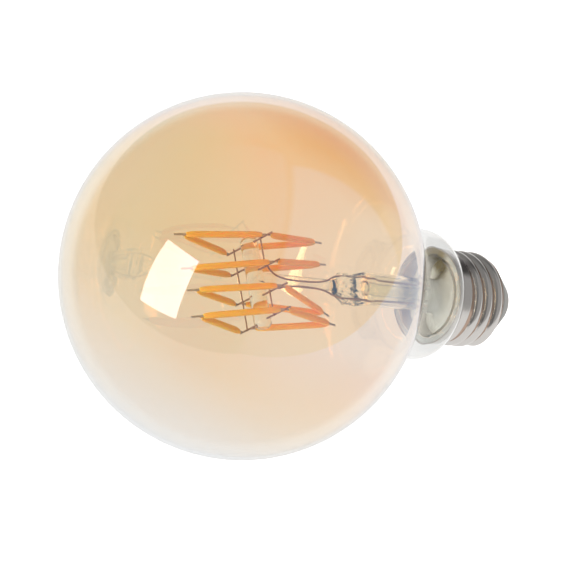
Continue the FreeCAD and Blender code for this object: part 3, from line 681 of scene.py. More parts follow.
def rolled_thread_tree():
    """Rolled screw shell: a sheet wrapped round the axis, with a crest that climbs in a helix."""
    sizes = ("Foot", "Height", "Root", "Crest", "Pitch", "Crest Round", "Thread Start", "Turns",
             "Start Angle", "Band", "Crimp", "Run Out")
    tree, given = new_tree("rolled_thread", {
        **{name: "NodeSocketFloat" for name in sizes}, "Material": "NodeSocketMaterial"})
    sheet = node(tree, "GeometryNodeMeshGrid", {
        "Size X": 1.0, "Size Y": 1.0, "Vertices X": SHELL_COLUMNS, "Vertices Y": SHELL_ROWS})
    place = node(tree, "GeometryNodeInputPosition")
    corner = node(tree, "ShaderNodeVectorMath", {0: place, 1: (0.5, 0.5, 0.0)}, operation="ADD")
    share = node(tree, "ShaderNodeSeparateXYZ", {"Vector": corner})
    turned = share.outputs["X"]
    height = node(tree, "ShaderNodeMath", {
        0: share.outputs["Y"], 1: given["Height"], 2: given["Foot"]}, operation="MULTIPLY_ADD")
    # Which turn of the thread is nearest, and how far above or below its crest this point lies
    climb = node(tree, "ShaderNodeMath", {
        0: turned, 1: given["Pitch"], 2: given["Thread Start"]}, operation="MULTIPLY_ADD")
    above = node(tree, "ShaderNodeMath", {0: height, 1: climb}, operation="SUBTRACT")
    turns_up = node(tree, "ShaderNodeMath", {0: above, 1: given["Pitch"]}, operation="DIVIDE")
    nearest = node(tree, "ShaderNodeMath", {0: turns_up}, operation="ROUND")
    off_share = node(tree, "ShaderNodeMath", {0: turns_up, 1: 0.5}, operation="PINGPONG")
    off_crest = node(tree, "ShaderNodeMath", {0: off_share, 1: given["Pitch"]}, operation="MULTIPLY")
    # The crest is an arc, and what is left of it above the root is how far the shell stands proud
    off_square = node(tree, "ShaderNodeMath", {0: off_crest, 1: 2.0}, operation="POWER")
    round_square = node(tree, "ShaderNodeMath", {0: given["Crest Round"], 1: 2.0}, operation="POWER")
    chord_square = node(tree, "ShaderNodeMath", {0: round_square, 1: off_square}, operation="SUBTRACT")
    chord = node(tree, "ShaderNodeMath", {0: chord_square}, operation="SQRT")
    drop = node(tree, "ShaderNodeMath", {0: given["Crest Round"], 1: chord}, operation="SUBTRACT")
    depth = node(tree, "ShaderNodeMath", {0: given["Crest"], 1: given["Root"]}, operation="SUBTRACT")
    left = node(tree, "ShaderNodeMath", {0: depth, 1: drop}, operation="SUBTRACT")
    proud = node(tree, "ShaderNodeMath", {0: left, 1: 0.0}, operation="MAXIMUM")
    # It runs in and out gently at its two ends
    along = node(tree, "ShaderNodeMath", {0: nearest, 1: turned}, operation="ADD")
    to_go = node(tree, "ShaderNodeMath", {0: given["Turns"], 1: along}, operation="SUBTRACT")
    nearer_end = node(tree, "ShaderNodeMath", {0: along, 1: to_go}, operation="MINIMUM")
    fade = node(tree, "ShaderNodeMapRange", {
        "Value": nearer_end, "From Max": given["Run Out"]}, interpolation_type="SMOOTHSTEP")
    ridge = node(tree, "ShaderNodeMath", {0: proud, 1: fade}, operation="MULTIPLY")
    band_foot = node(tree, "ShaderNodeMath", {0: given["Band"], 1: depth}, operation="SUBTRACT")
    band = node(tree, "ShaderNodeMapRange", {
        "Value": height, "From Min": band_foot, "From Max": given["Band"], "To Max": depth},
        interpolation_type="SMOOTHSTEP")
    crimp_top = node(tree, "ShaderNodeMath", {0: given["Foot"], 1: given["Crimp"]}, operation="ADD")
    crimp = node(tree, "ShaderNodeMapRange", {
        "Value": height, "From Min": crimp_top, "From Max": given["Foot"], "To Max": given["Crimp"]},
        interpolation_type="SMOOTHSTEP")
    swell = node(tree, "ShaderNodeMath", {0: ridge, 1: band}, operation="MAXIMUM")
    bulged = node(tree, "ShaderNodeMath", {0: given["Root"], 1: swell}, operation="ADD")
    radius = node(tree, "ShaderNodeMath", {0: bulged, 1: crimp}, operation="SUBTRACT")
    angle = node(tree, "ShaderNodeMath", {
        0: turned, 1: 2 * math.pi, 2: given["Start Angle"]}, operation="MULTIPLY_ADD")
    section = node(tree, "ShaderNodeCombineXYZ", {"X": radius, "Z": height})
    wrapped = node(tree, "ShaderNodeVectorRotate", {
        "Vector": section, "Angle": angle}, rotation_type="Z_AXIS")
    shell = node(tree, "GeometryNodeSetPosition", {"Geometry": sheet, "Position": wrapped})
    seam = node(tree, "GeometryNodeMergeByDistance", {"Geometry": shell, "Distance": SEAM_GAP})
    return end_tree(tree, seam, given["Material"])


def cast_filaments_tree():
    """One coat at every point, turned as the point's own attribute says."""
    tree, given = new_tree("cast_filaments", {"Coat": "NodeSocketObject", "Material": "NodeSocketMaterial"})
    coat = node(tree, "GeometryNodeObjectInfo", {"Object": given["Coat"]})
    facing = node(tree, "GeometryNodeInputNamedAttribute", {"Name": "facing"}, data_type="FLOAT_VECTOR")
    turned = node(tree, "FunctionNodeEulerToRotation", {"Euler": facing})
    copies = node(tree, "GeometryNodeInstanceOnPoints", {
        "Points": given["Geometry"], "Instance": coat.outputs["Geometry"], "Rotation": turned})
    return end_tree(tree, copies, given["Material"])


def wire_source(name, routes, smooth):
    """Curve object with one spline through each route's points."""
    curve = bpy.data.curves.new(name, "CURVE")
    curve.dimensions = "3D"
    curve.resolution_u = 12
    for route in routes:
        spline = curve.splines.new("NURBS" if smooth else "POLY")
        spline.points.add(len(route) - 1)
        for point, place in zip(spline.points, route):
            point.co = (*place, 1.0)
        if smooth:
            spline.order_u = 4
            spline.use_endpoint_u = True
    source = bpy.data.objects.new(name, curve)
    bpy.context.collection.objects.link(source)
    return source


def bar_ends(name):
    """Middles of the two end faces of a straight bar, read from its frame node."""
    points = [vertex.co.copy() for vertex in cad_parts[name].data.vertices]
    first = max(points, key=lambda point: (point - points[0]).length)
    last = max(points, key=lambda point: (point - first).length)
    middles = []
    for corner in (first, last):
        face = [point for point in points if (point - corner).length < END_FACE]
        middles.append(Vector([(min(side) + max(side)) / 2 for side in zip(*face)]))
    return middles


def wire_radius(name):
    low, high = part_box(name)
    return sorted(high - low)[0] / 2


# Operators, one for each piece or group of like pieces

class BULB_OT_globe(bpy.types.Operator):
    """Blow the amber globe with its neck, shoulder and collar"""

    bl_idname = "bulb.globe"
    bl_label = "Amber globe"

    def execute(self, context):
        glass = group("glass")
        low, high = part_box("glass_globe")
        radius = high.x
        middle = high.z - radius
        shoulder = glass.neck_radius - glass.shoulder_round
        shoulder_height = glass.shoulder_foot + glass.shoulder_round
        fillet = (glass.neck_radius + glass.neck_fillet, glass.fillet_height)
        fall = math.degrees(math.atan2(fillet[1] - middle, fillet[0]))

        def face(wall, neck_wall):
            """Outline of the glass at a depth from its outside, on the globe and on the neck."""
            sweep = glass.neck_fillet + wall
            return [
                *arc((0.0, middle), radius - wall, 90, fall, 72),
                *arc(fillet, sweep, fall + 180, 180, 20, glass.neck_fillet + neck_wall),
                *arc((shoulder, shoulder_height), glass.shoulder_round - neck_wall, 0, -90, 14),
                (glass.collar_radius - wall, glass.shoulder_foot + neck_wall),
                (glass.collar_radius - wall, low.z),
            ]

        outline = face(0.0, 0.0) + face(glass.wall, glass.neck_wall)[::-1]
        outline[0] = (0.0, high.z)
        outline[-1] = (0.0, high.z - glass.wall)
        piece = lathe("amber_globe", outline, amber_lustre_glass(), glass.steps)
        keep(piece, "amber_glass", "glass_globe")
        return {"FINISHED"}


class BULB_OT_cap(bpy.types.Operator):
    """Roll the threaded shell and set the insulator, the contact and the cement in it"""

    bl_idname = "bulb.cap"
    bl_label = "Screw cap"

    def execute(self, context):
        cap = group("cap")
        finish = group("finish")
        self.shell(cap)
        self.insulator(cap, finish)
        self.contact(cap, finish)
        self.cement(cap)
        return {"FINISHED"}

    def shell(self, cap):
        low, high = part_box("screw_shell")
        blank = bpy.data.objects.new("shell_blank", bpy.data.meshes.new("shell_blank"))
        bpy.context.collection.objects.link(blank)
        piece = grow("threaded_shell", blank, rolled_thread_tree(), {
            "Foot": low.z, "Height": high.z - low.z, "Root": cap.root_radius, "Crest": cap.crest_radius,
            "Pitch": cap.pitch, "Crest Round": cap.crest_round, "Thread Start": cap.thread_start,
            "Turns": cap.thread_turns, "Start Angle": cap.start_angle, "Band": cap.band_height,
            "Crimp": cap.crimp, "Run Out": cap.run_out, "Material": nickel_plated_brass()})
        wall = piece.modifiers.new("wall", "SOLIDIFY")
        wall.thickness = cap.shell_wall
        wall.offset = -1.0
        keep(piece, "nickel_plate", "screw_shell")

    def insulator(self, cap, finish):
        low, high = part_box("cap_insulator")
        edge = cap.insulator_edge
        outline = [
            (cap.feed_hole, low.z),
            *arc((cap.insulator_nose - edge, low.z + edge), edge, -90, -45, 5),
            *arc((high.x - edge, high.z - cap.insulator_flange), edge, -40, 0, 5),
            (high.x, high.z),
            (cap.feed_hole, high.z),
        ]
        # Pressed steatite-like insulator: pale, fine grained, with a dull skin
        ceramic = matt_coat("pressed_insulator", finish.insulator, 0.82, 0.5, 1.2)
        keep(lathe("pressed_insulator", outline, ceramic, closed=True), "insulator", "cap_insulator")

    def contact(self, cap, finish):
        low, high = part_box("centre_contact")
        rim = high.z - cap.contact_edge
        edge = cap.contact_round
        outline = [
            (0.0, low.z),
            (cap.contact_flat, low.z),
            *arc((cap.contact_flat, rim), rim - low.z, -80, -45, 4),
            *arc((high.x - edge, rim), edge, -40, 0, 5),
            (high.x, high.z),
            (0.0, high.z),
        ]
        # Stamped brass, dipped in tin: pale grey with soft blotches
        tinned = worn_metal("tinned_contact", finish.contact, 0.32, 1.5)
        keep(lathe("tinned_contact", outline, tinned, sharp=60), "contact_metal", "centre_contact")

    def cement(self, cap):
        low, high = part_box("basing_cement")
        # The cement wets the collar, so it shows through the glass without a dark film of air
        collar = group("glass").collar_radius - cap.cement_wetting
        depth = cap.crest_radius - cap.root_radius
        wall = cap.crest_radius - high.x
        bore = cap.root_radius - wall
        step = cap.band_height - depth + wall / 2
        outline = [(collar, low.z), (collar, high.z), (high.x, high.z), (high.x, step + depth), (bore, step),
                   (bore, low.z)]
        rings = [ring(radius, radius, height, 120) for radius, height in outline]
        for point in rings[1] + rings[2]:
            point.z -= cap.cement_lumps * abs(noise.noise(point / cap.cement_grain))
        keep(skin("cement_ring", rings, baked_cement(), closed=True), "cement", "basing_cement")


class BULB_OT_stem(bpy.types.Operator):
    """Draw the flared stem with its pinched press, the pumping tube and the arbor"""

    bl_idname = "bulb.stem"
    bl_label = "Glass stem"

    def execute(self, context):
        glass = group("glass")
        cane = clear_cane_glass()
        self.stem(glass, clear_stem_glass())
        self.exhaust(glass, cane)
        self.arbor(glass, cane)
        return {"FINISHED"}

    def stem(self, glass, clear):
        steps = 120
        lip = glass.collar_radius - glass.wall
        bore = glass.stem_radius - glass.stem_wall
        centre = (lip, glass.flare_height)
        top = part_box("arbor")[0].z
        outside = arc(centre, lip - glass.stem_radius, 270, 180, 24)
        inside = arc(centre, lip - bore, 270, 180, 24)
        # The bore ends in a low dome under the press
        dome = [(radius, glass.press_base - bore / 2 + height / 2)
                for radius, height in arc((0, 0), bore, 0, 90, 8)]
        dome[-1] = (0.0, glass.press_base)
        rings = [ring(radius, radius, height, steps)
                 for radius, height in dome[::-1] + inside[::-1] + outside]
        for loop in rings:
            for point in loop:
                self.wrinkle(glass, point, lip)
        levels = 48
        for level in range(1, levels + 1):
            height = glass.flare_height + (top - glass.flare_height) * level / levels
            rings.append(self.press_ring(glass, height, top, steps))
        rings.append(ring(0.0, 0.0, top, steps, glass.press_shift))
        keep(skin("flared_stem", rings, clear, sharp=75), "clear_glass", "stem_flare")

    def wrinkle(self, glass, point, lip):
        """Fold the melted seal up where the flare meets the collar."""
        reach = math.hypot(point.x, point.y)
        melted = smooth_share(glass.stem_radius, lip, reach)
        fold = noise.noise(point / glass.fold_size) ** 2 + abs(noise.noise(point * 2 / glass.fold_size))
        point.z += glass.seal_wrinkles * melted * fold

    def press_ring(self, glass, height, top, steps):
        """One level of the stem, round below and pinched flat in the press, with the jaws' dents."""
        pinch = smooth_share(glass.press_base, glass.press_base + glass.press_pinch, height)
        full = 1 - glass.press_crown * (1 - smooth_share(top, top - glass.press_round, height))
        width = (glass.stem_radius + pinch * (glass.press_width / 2 - glass.stem_radius)) * full
        depth = (glass.stem_radius + pinch * (glass.press_depth / 2 - glass.stem_radius)) * full
        loop = ring(width, depth, height, steps, pinch * glass.press_shift)
        for point in loop:
            dent = abs(noise.noise(point / glass.fold_size))
            dent += abs(noise.noise(point * 2 / glass.fold_size)) / 2
            inward = Vector((glass.press_shift - point.x, -point.y, 0)).normalized()
            point += inward * glass.press_dents * pinch * dent
        return loop

    def exhaust(self, glass, clear):
        low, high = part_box("exhaust_tube")
        radius, wall = glass.exhaust_radius, glass.exhaust_wall
        tip = (0.0, low.z + radius)
        outline = [*arc(tip, radius, -90, 0, 10), (radius, high.z), (radius - wall, high.z),
                   *arc(tip, radius - wall, 0, -90, 10)]
        outline[0] = (0.0, low.z)
        outline[-1] = (0.0, low.z + wall)
        keep(lathe("pumping_tube", outline, clear, 48), "clear_glass", "exhaust_tube")

    def arbor(self, glass, clear):
        low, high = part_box("arbor")
        steps = 64
        level = high.z - glass.bar_radius
        # The rod spreads a little where it is melted to the press, and its head is melted into the bar
        spread = glass.arbor_spread
        rod = [(0.0, low.z),
               *arc((glass.arbor_radius + spread, low.z + spread), spread, 270, 180, 6),
               (glass.arbor_radius, level), (0.0, level)]
        piece = lathe("arbor_rod", rod, clear, steps)
        edge = glass.bar_round
        flat = glass.bar_radius - edge
        bar = [(0.0, low.x), *arc((flat, low.x + edge), edge, -90, 0, 8),
               *arc((flat, high.x - edge), edge, 0, 90, 8), (0.0, high.x)]
        loops = [ring(radius, radius, place, steps) for radius, place in bar]
        lying = [[Vector((point.z, point.x, point.y + level)) for point in loop] for loop in loops]
        melt(piece, skin("arbor_bar", lying, clear))
        keep(piece, "clear_glass", "arbor")


class BULB_OT_wires(bpy.types.Operator):
    """Draw the support wires, the bus wires and the two leads"""

    bl_idname = "bulb.wires"
    bl_label = "Wires"

    # Route of each lead from the board through the press to its weld, in millimetres
    LEADS = {
        "lead_upper": ((2.75, 0, 18.8), (2.75, 0, 49), (3.05, -0.9, 59.5), (0.4, -2.15, 62.35),
                       (-0.75, -2.55, 67.27), (-1.15, -2.95, 75.04), (-1.0, -3.6, 81.51), (0.1, -4.15, 84.1),
                       (1.5, -4.6, 85.4)),
        "lead_lower": ((-2.75, 0, 18.8), (-2.75, 0, 49), (-4.45, -0.9, 59.5), (-2.9, -2.35, 64.12),
                       (-2.65, -3.05, 68.23), (-3.4, -5.15, 76.97), (-4.7, -6.45, 82.36),
                       (-5.5, -7.0, 85.19)),
    }

    def execute(self, context):
        # Drawn nickel-iron wire, browned by the sealing flame
        browned = worn_metal("browned_wire", group("finish").wire, 0.45, 1.0)
        tree = drawn_wire_tree()
        supports = ["cross_%s_%d" % (side, row) for side in SIDES for row in ROWS]
        buses = ["bus_far", "bus_near_upper", "bus_near_lower"]
        for name, nodes in (("support_wires", supports), ("bus_wires", buses)):
            source = wire_source(name, [bar_ends(wire) for wire in nodes], False)
            piece = grow(name, source, tree, {
                "Radius": wire_radius(nodes[0]), "Sides": 16, "Material": browned})
            keep(piece, "nickel_wire", *nodes)
        for name, route in self.LEADS.items():
            source = wire_source(name + "_route", [[Vector(point) * MM for point in route]], True)
            piece = grow(name + "_wire", source, tree, {
                "Radius": group("cage").lead_radius, "Sides": 14, "Material": browned})
            keep(piece, "nickel_wire", name)
        return {"FINISHED"}


class BULB_OT_filaments(bpy.types.Operator):
    """Cast a phosphor coat on every carrier strip"""

    bl_idname = "bulb.filaments"
    bl_label = "Filaments"

    # From a coat's end inwards: shares of the taper, of the full width and of the full depth
    END_PROFILE = ((0.0, 0.55, 0.22), (0.04, 0.7, 0.35), (0.15, 0.79, 0.47), (0.4, 0.9, 0.66),
                   (0.75, 0.99, 0.87), (1.0, 1.0, 1.0))

    def execute(self, context):
        cage = group("cage")
        names = ["%s_%s_%d" % (side, end, row) for end in ENDS for side in SIDES for row in ROWS]
        places, turns = [], []
        for name in names:
            first, last = self.coat_ends(name)
            places.append((first + last) / 2)
            along = (last - first).normalized()
            across = (Vector((1, 0, 0)) - along * along.x).normalized()
            basis = Matrix((across, along.cross(across), along)).transposed()
            turns.append(basis.to_euler())
        # All coats are as long as the last one
        coat = self.coat(cage, (last - first).length)
        points = bpy.data.meshes.new("filament_points")
        points.from_pydata(places, [], [])
        facing = points.attributes.new("facing", "FLOAT_VECTOR", "POINT")
        facing.data.foreach_set("vector", [value for euler in turns for value in euler])
        source = bpy.data.objects.new("filament_points", points)
        bpy.context.collection.objects.link(source)
        piece = grow("phosphor_coats", source, cast_filaments_tree(), {
            "Coat": coat, "Material": phosphor_silicone()}, sharp=60)
        bpy.data.objects.remove(coat)
        keep(piece, "phosphor_silicone", *["phosphor_" + name for name in names])
        # Punched iron strip with a thin nickel plate, dull
        strip = worn_metal("carrier_strip", group("finish").strip, 0.4, 0.8)
        dress(strip, *["strip_" + name for name in names])
        return {"FINISHED"}

    def coat_ends(self, name):
        """The two ends of a coat on its strip's middle line."""
        first, last = bar_ends("strip_" + name)
        along = (last - first).normalized()
        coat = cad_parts["phosphor_" + name].data.vertices
        reach = [(vertex.co - first).dot(along) for vertex in coat]
        return first + along * min(reach), first + along * max(reach)

    def coat(self, cage, span):
        """One coat along Z about the origin: an oval bar, thinner towards its ends."""
        steps = 20
        first = [self.coat_ring(cage, span, *station, steps) for station in self.END_PROFILE]
        last = [[Vector((point.x, point.y, -point.z)) for point in loop] for loop in first[::-1]]
        closing = [ring(0.0, 0.0, side * span / 2, steps) for side in (-1, 1)]
        return skin("one_coat", closing[:1] + first + last + closing[1:], None, sharp=60)

    def coat_ring(self, cage, span, share, width_share, depth_share, steps):
        loop = ring(1.0, 1.0, share * cage.coat_taper - span / 2, steps)
        for point in loop:
            # Between an ellipse and a box, as a coat is cast in a shallow trough
            blunt = (point.x ** 4 + point.y ** 4) ** 0.25
            point.x *= cage.coat_width / 2 * width_share / blunt
            point.y *= cage.coat_depth / 2 * depth_share / blunt
        return loop


class BULB_OT_driver(bpy.types.Operator):
    """Finish the driver parts that sit in the cap"""

    bl_idname = "bulb.driver"
    bl_label = "Driver"

    def execute(self, context):
        finish = group("finish")
        dress(soldered_board(), "driver_board")
        # Drawn aluminium can, faintly scuffed
        dress(worn_metal("aluminium_can", finish.can, 0.3, 1.0), "smoothing_capacitor")
        # Moulded black epoxy package
        dress(matt_coat("black_epoxy", finish.epoxy, 0.8, 0.5, 0.6), "bridge_rectifier")
        # Flameproof resistor lacquer, grey green and slightly lumpy
        dress(matt_coat("resistor_lacquer", finish.lacquer, 0.8, 0.45, 0.8), "fuse_resistor")
        # Bare copper wire, dulled by handling
        dress(worn_metal("copper_feed_wire", finish.feed, 0.35, 0.6), "live_wire", "neutral_wire")
        return {"FINISHED"}


class BULB_OT_stage(bpy.types.Operator):
    """Set the floor, the soft lights and the camera"""

    bl_idname = "bulb.stage"
    bl_label = "Studio"

    FLOOR_DROP = 120 * MM
    FLOOR_RADIUS = 1.6
    # The softbox as the camera sees it: right, up and towards the viewer from the globe, in metres
    SOFTBOX_CENTRE = Vector((-1.062, -0.05, 1.058))
    SOFTBOX_LONG_SIDE = Vector((0.318, 0.877, 0.359))
    SOFTBOX_SIZE = (0.68, 1.02)
    SOFTBOX_WATTS = 15.0
    # A white table, seen only as a mirror image in glass and metal: its tilt to the line of sight, how near
    # its front edge is, how far it falls away to the right, and how soft its rim is
    TABLE_TILT = math.radians(39)
    TABLE_EDGE = 0.17
    TABLE_FALL = 0.25
    TABLE_RIM = 0.01
    # How far the white backdrop reaches round the line of sight, and how soft its rim is
    BACKDROP_REACH = math.radians(41)
    BACKDROP_RIM = 0.02
    # Brightness of the room in mirrors at the horizon and overhead, how much it loses to the right, its
    # least brightness, and how far forward that loss starts to fade and has faded
    ROOM_LOW = 0.45
    ROOM_HIGH = 0.15
    ROOM_SHADE = 0.35
    ROOM_DIMMEST = 0.14
    SHADE_FADES = (0.3, 0.6)
    # A pale ceiling of two panes with a beam between them, also seen in mirrors only. The vectors are
    # square to its edges, in right, up and forward
    BEAM = Vector((1.0, -0.352, 0.375))
    BEAM_HALF = 0.03
    LEFT_PANE_EDGE = Vector((-0.15, -0.02, -1.0))
    RIGHT_PANE_EDGE = Vector((0.5, -0.42, -1.0))
    PANE_RIM = 0.035
    LEFT_PANE_LOW = 0.15
    LEFT_PANE_HIGH = 0.3
    RIGHT_PANE = 0.45
    # Light on matt surfaces
    FILL = 0.7
    # What the paper gives off towards the camera, to be white without more light on the bulb
    PAPER_LIFT = 0.5
    LIGHT_BOUNCES = 32

    def execute(self, context):
        view = group("view")
        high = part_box("glass_globe")[1]
        radius = high.x
        middle = Vector((0, 0, high.z - radius))
        axes = self.sight_axes(view)
        self.camera(view, radius, middle, axes)
        self.softbox(middle, axes)
        self.world(axes)
        self.floor()
        context.scene.view_settings.view_transform = "Standard"
        # Light goes in and out through the walls of the globe, the stem and the pumping tube
        cycles = context.scene.cycles
        cycles.max_bounces = self.LIGHT_BOUNCES
        cycles.transmission_bounces = self.LIGHT_BOUNCES
        cycles.transparent_max_bounces = self.LIGHT_BOUNCES
        return {"FINISHED"}

    def sight_axes(self, view):
        """Right, up and forward of the camera in the bulb's own frame."""
        angle, tilt, twist = view.axis_angle, view.axis_tilt, view.cage_turn
        # The bulb's axis towards its cap, and the picture's upright square to it, as the camera sees them
        cap = Vector((math.sin(angle) * math.cos(tilt), -math.sin(angle) * math.sin(tilt), math.cos(angle)))
        upright = Vector((0, 1, 0))
        upright = (upright - cap * upright.dot(cap)).normalized()
        side = upright.cross(cap)
        rows = math.cos(twist) * upright - math.sin(twist) * side
        near = -(math.cos(twist) * side + math.sin(twist) * upright)
        sight = Matrix((rows, near, -cap))
        return [sight.col[0].copy(), sight.col[1].copy(), sight.col[2].copy()]

    def camera(self, view, radius, middle, axes):
        right, up, forward = axes
        focal = view.globe_pixels * math.sqrt(view.distance ** 2 - radius ** 2) / radius
        centre = PHOTO_PIXELS / 2
        across = (view.globe_across - centre) * view.distance / focal
        down = (view.globe_down - centre) * view.distance / focal
        data = bpy.data.cameras.new("camera")
        data.sensor_width = 36.0
        data.lens = focal / PHOTO_PIXELS * data.sensor_width
        data.clip_start = 0.05
        camera = bpy.data.objects.new("camera", data)
        place = middle - right * across + up * down - forward * view.distance
        turned = Matrix((right, up, -forward)).transposed().to_4x4()
        camera.matrix_world = Matrix.Translation(place) @ turned
        bpy.context.collection.objects.link(camera)
        bpy.context.scene.camera = camera

    def softbox(self, middle, axes):
        right, up, forward = axes

        def from_view(vector):
            return right * vector.x + up * vector.y - forward * vector.z

        data = bpy.data.lights.new("softbox", "AREA")
        data.shape = "RECTANGLE"
        data.size, data.size_y = self.SOFTBOX_SIZE
        data.energy = self.SOFTBOX_WATTS
        lamp = bpy.data.objects.new("softbox", data)
        out = from_view(self.SOFTBOX_CENTRE).normalized()
        long_side = from_view(self.SOFTBOX_LONG_SIDE)
        long_side = (long_side - out * long_side.dot(out)).normalized()
        turned = Matrix((long_side.cross(out), long_side, out)).transposed().to_4x4()
        lamp.matrix_world = Matrix.Translation(middle + from_view(self.SOFTBOX_CENTRE)) @ turned
        bpy.context.collection.objects.link(lamp)

    def world(self, axes):
        world = bpy.data.worlds.new("studio")
        bpy.context.scene.world = world
        world.use_nodes = True
        tree = world.node_tree
        tree.nodes.clear()
        mirrored = self.mirrored_room(tree, *axes)
        path = node(tree, "ShaderNodeLightPath")
        plain = node(tree, "ShaderNodeMath", {
            0: path.outputs["Is Camera Ray"], 1: path.outputs["Is Transmission Ray"]}, operation="MAXIMUM")
        level = node(tree, "ShaderNodeMix", {
            "Factor": path.outputs["Is Glossy Ray"], "A": self.FILL, "B": mirrored}, data_type="FLOAT")
        seen = node(tree, "ShaderNodeMix", {"Factor": plain, "A": level, "B": 1.0}, data_type="FLOAT")
        glow = node(tree, "ShaderNodeBackground", {"Color": (1, 1, 1, 1), "Strength": seen})
        node(tree, "ShaderNodeOutputWorld", {"Surface": glow})

    def mirrored_room(self, tree, right, up, forward):
        """What mirrors see: the white table below its horizon, as far as its front edge, the white backdrop
        behind the bulb, and a dim room above with its ceiling."""
        table_up = up * math.cos(self.TABLE_TILT) - forward * math.sin(self.TABLE_TILT)
        table_front = -up * math.sin(self.TABLE_TILT) - forward * math.cos(self.TABLE_TILT)
        place = node(tree, "ShaderNodeTexCoord").outputs["Generated"]
        rise = node(tree, "ShaderNodeVectorMath", {0: place, 1: table_up}, operation="DOT_PRODUCT")
        ahead = node(tree, "ShaderNodeVectorMath", {0: place, 1: table_front}, operation="DOT_PRODUCT")
        near = node(tree, "ShaderNodeMath", {0: ahead, 1: 0.0}, operation="MAXIMUM")
        edge = node(tree, "ShaderNodeMath", {0: near, 1: self.TABLE_EDGE, 2: rise}, operation="MULTIPLY_ADD")
        across = node(tree, "ShaderNodeVectorMath", {0: place, 1: right}, operation="DOT_PRODUCT")
        aside = node(tree, "ShaderNodeMath", {0: across, 1: 0.0}, operation="MAXIMUM")
        fall = node(tree, "ShaderNodeMath", {
            0: aside, 1: self.TABLE_FALL, 2: edge}, operation="MULTIPLY_ADD")
        table = node(tree, "ShaderNodeMapRange", {
            "Value": fall, "From Min": self.TABLE_RIM, "From Max": -self.TABLE_RIM})
        onward = node(tree, "ShaderNodeVectorMath", {0: place, 1: forward}, operation="DOT_PRODUCT")
        backdrop = node(tree, "ShaderNodeMapRange", {
            "Value": onward, "From Min": math.cos(self.BACKDROP_REACH) - self.BACKDROP_RIM,
            "From Max": math.cos(self.BACKDROP_REACH) + self.BACKDROP_RIM})
        paper = node(tree, "ShaderNodeMath", {0: table, 1: backdrop}, operation="MAXIMUM")
        room = node(tree, "ShaderNodeMapRange", {
            "Value": rise, "To Min": self.ROOM_LOW, "To Max": self.ROOM_HIGH})
        depth = node(tree, "ShaderNodeMapRange", {
            "Value": onward, "From Min": self.SHADE_FADES[1], "From Max": self.SHADE_FADES[0],
            "To Max": -self.ROOM_SHADE})
        shade = node(tree, "ShaderNodeMath", {0: aside, 1: depth, 2: room}, operation="MULTIPLY_ADD")
        wall = node(tree, "ShaderNodeMath", {0: shade, 1: self.ROOM_DIMMEST}, operation="MAXIMUM")

        def past(line, gap):
            """Share, soft at the rim, by which a mirror looks past an edge of the ceiling."""
            normal = right * line.x + up * line.y + forward * line.z
            off = node(tree, "ShaderNodeVectorMath", {0: place, 1: normal}, operation="DOT_PRODUCT")
            return node(tree, "ShaderNodeMapRange", {
                "Value": off, "From Min": gap - self.PANE_RIM, "From Max": gap + self.PANE_RIM})

        left_pane = node(tree, "ShaderNodeMath", {
            0: past(self.LEFT_PANE_EDGE, 0.0), 1: past(-self.BEAM, self.BEAM_HALF)}, operation="MULTIPLY")
        right_pane = node(tree, "ShaderNodeMath", {
            0: past(self.RIGHT_PANE_EDGE, 0.0), 1: past(self.BEAM, self.BEAM_HALF)}, operation="MULTIPLY")
        left_level = node(tree, "ShaderNodeMapRange", {
            "Value": rise, "To Min": self.LEFT_PANE_LOW, "To Max": self.LEFT_PANE_HIGH})
        ceiling = node(tree, "ShaderNodeMix", {
            "Factor": left_pane, "A": wall, "B": left_level}, data_type="FLOAT")
        overhead = node(tree, "ShaderNodeMix", {
            "Factor": right_pane, "A": ceiling, "B": self.RIGHT_PANE}, data_type="FLOAT")
        return node(tree, "ShaderNodeMix", {"Factor": paper, "A": overhead, "B": 1.0}, data_type="FLOAT")

    def floor(self):
        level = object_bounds()[0].z - self.FLOOR_DROP
        steps = 96
        rings = [ring(0.0, 0.0, level, steps), ring(self.FLOOR_RADIUS, self.FLOOR_RADIUS, level, steps)]
        floor = skin("floor", rings, self.paper())
        floor.visible_glossy = False
        floor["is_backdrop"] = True

    def paper(self):
        # Matt white background paper: the camera sees the shadow on it, and through glass it is plain white
        material, tree, place = new_material("background_paper")
        fibre = node(tree, "ShaderNodeTexNoise", {"Vector": place, "Scale": 1 / (2 * MM), "Detail": 3.0})
        bump = node(tree, "ShaderNodeBump", {"Height": fibre, "Strength": 0.05, "Distance": 0.1 * MM})
        sheet = node(tree, "ShaderNodeBsdfPrincipled", {
            "Base Color": linear(group("finish").floor), "Roughness": 0.9, "Normal": bump})
        path = node(tree, "ShaderNodeLightPath")
        lift = node(tree, "ShaderNodeMath", {
            0: path.outputs["Is Camera Ray"], 1: self.PAPER_LIFT}, operation="MULTIPLY")
        glow = node(tree, "ShaderNodeEmission", {"Color": (1, 1, 1, 1), "Strength": lift})
        lit = node(tree, "ShaderNodeAddShader", {0: sheet, 1: glow})
        white = node(tree, "ShaderNodeEmission", {"Color": (1, 1, 1, 1), "Strength": 1.0})
        shader = node(tree, "ShaderNodeMixShader", {
            0: path.outputs["Is Transmission Ray"], 1: lit, 2: white})
        return finish_material(material, shader)


class BULB_PT_panel(bpy.types.Panel):
    """Sizes, colours and steps of the bulb"""

    bl_idname = "BULB_PT_panel"
    bl_label = "Amber globe bulb"
    bl_space_type = "VIEW_3D"
    bl_region_type = "UI"
    bl_category = "Bulb"

    def draw(self, context):
        for step in STEPS:
            self.layout.operator(step.bl_idname)
        for name, kind in GROUPS.items():
            box = self.layout.box()
            box.label(text=kind.__doc__)
            for key in kind.__annotations__:
                box.prop(getattr(context.scene, name), key)


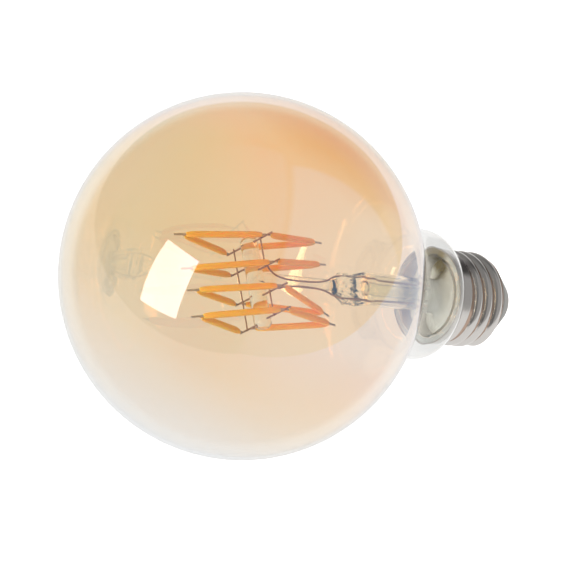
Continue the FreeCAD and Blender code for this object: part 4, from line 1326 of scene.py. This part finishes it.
STEPS = (BULB_OT_globe, BULB_OT_cap, BULB_OT_stem, BULB_OT_wires, BULB_OT_filaments, BULB_OT_driver,
         BULB_OT_stage)


def register():
    for kind in (*GROUPS.values(), *STEPS, BULB_PT_panel):
        bpy.utils.register_class(kind)
    for name, kind in GROUPS.items():
        setattr(bpy.types.Scene, name, PointerProperty(type=kind))


def unregister():
    for name in GROUPS:
        delattr(bpy.types.Scene, name)
    for kind in (BULB_PT_panel, *reversed(STEPS), *GROUPS.values()):
        bpy.utils.unregister_class(kind)


def main():
    register()
    for step in STEPS:
        area, name = step.bl_idname.split(".")
        getattr(getattr(bpy.ops, area), name)()


if __name__ == "__main__":
    main()
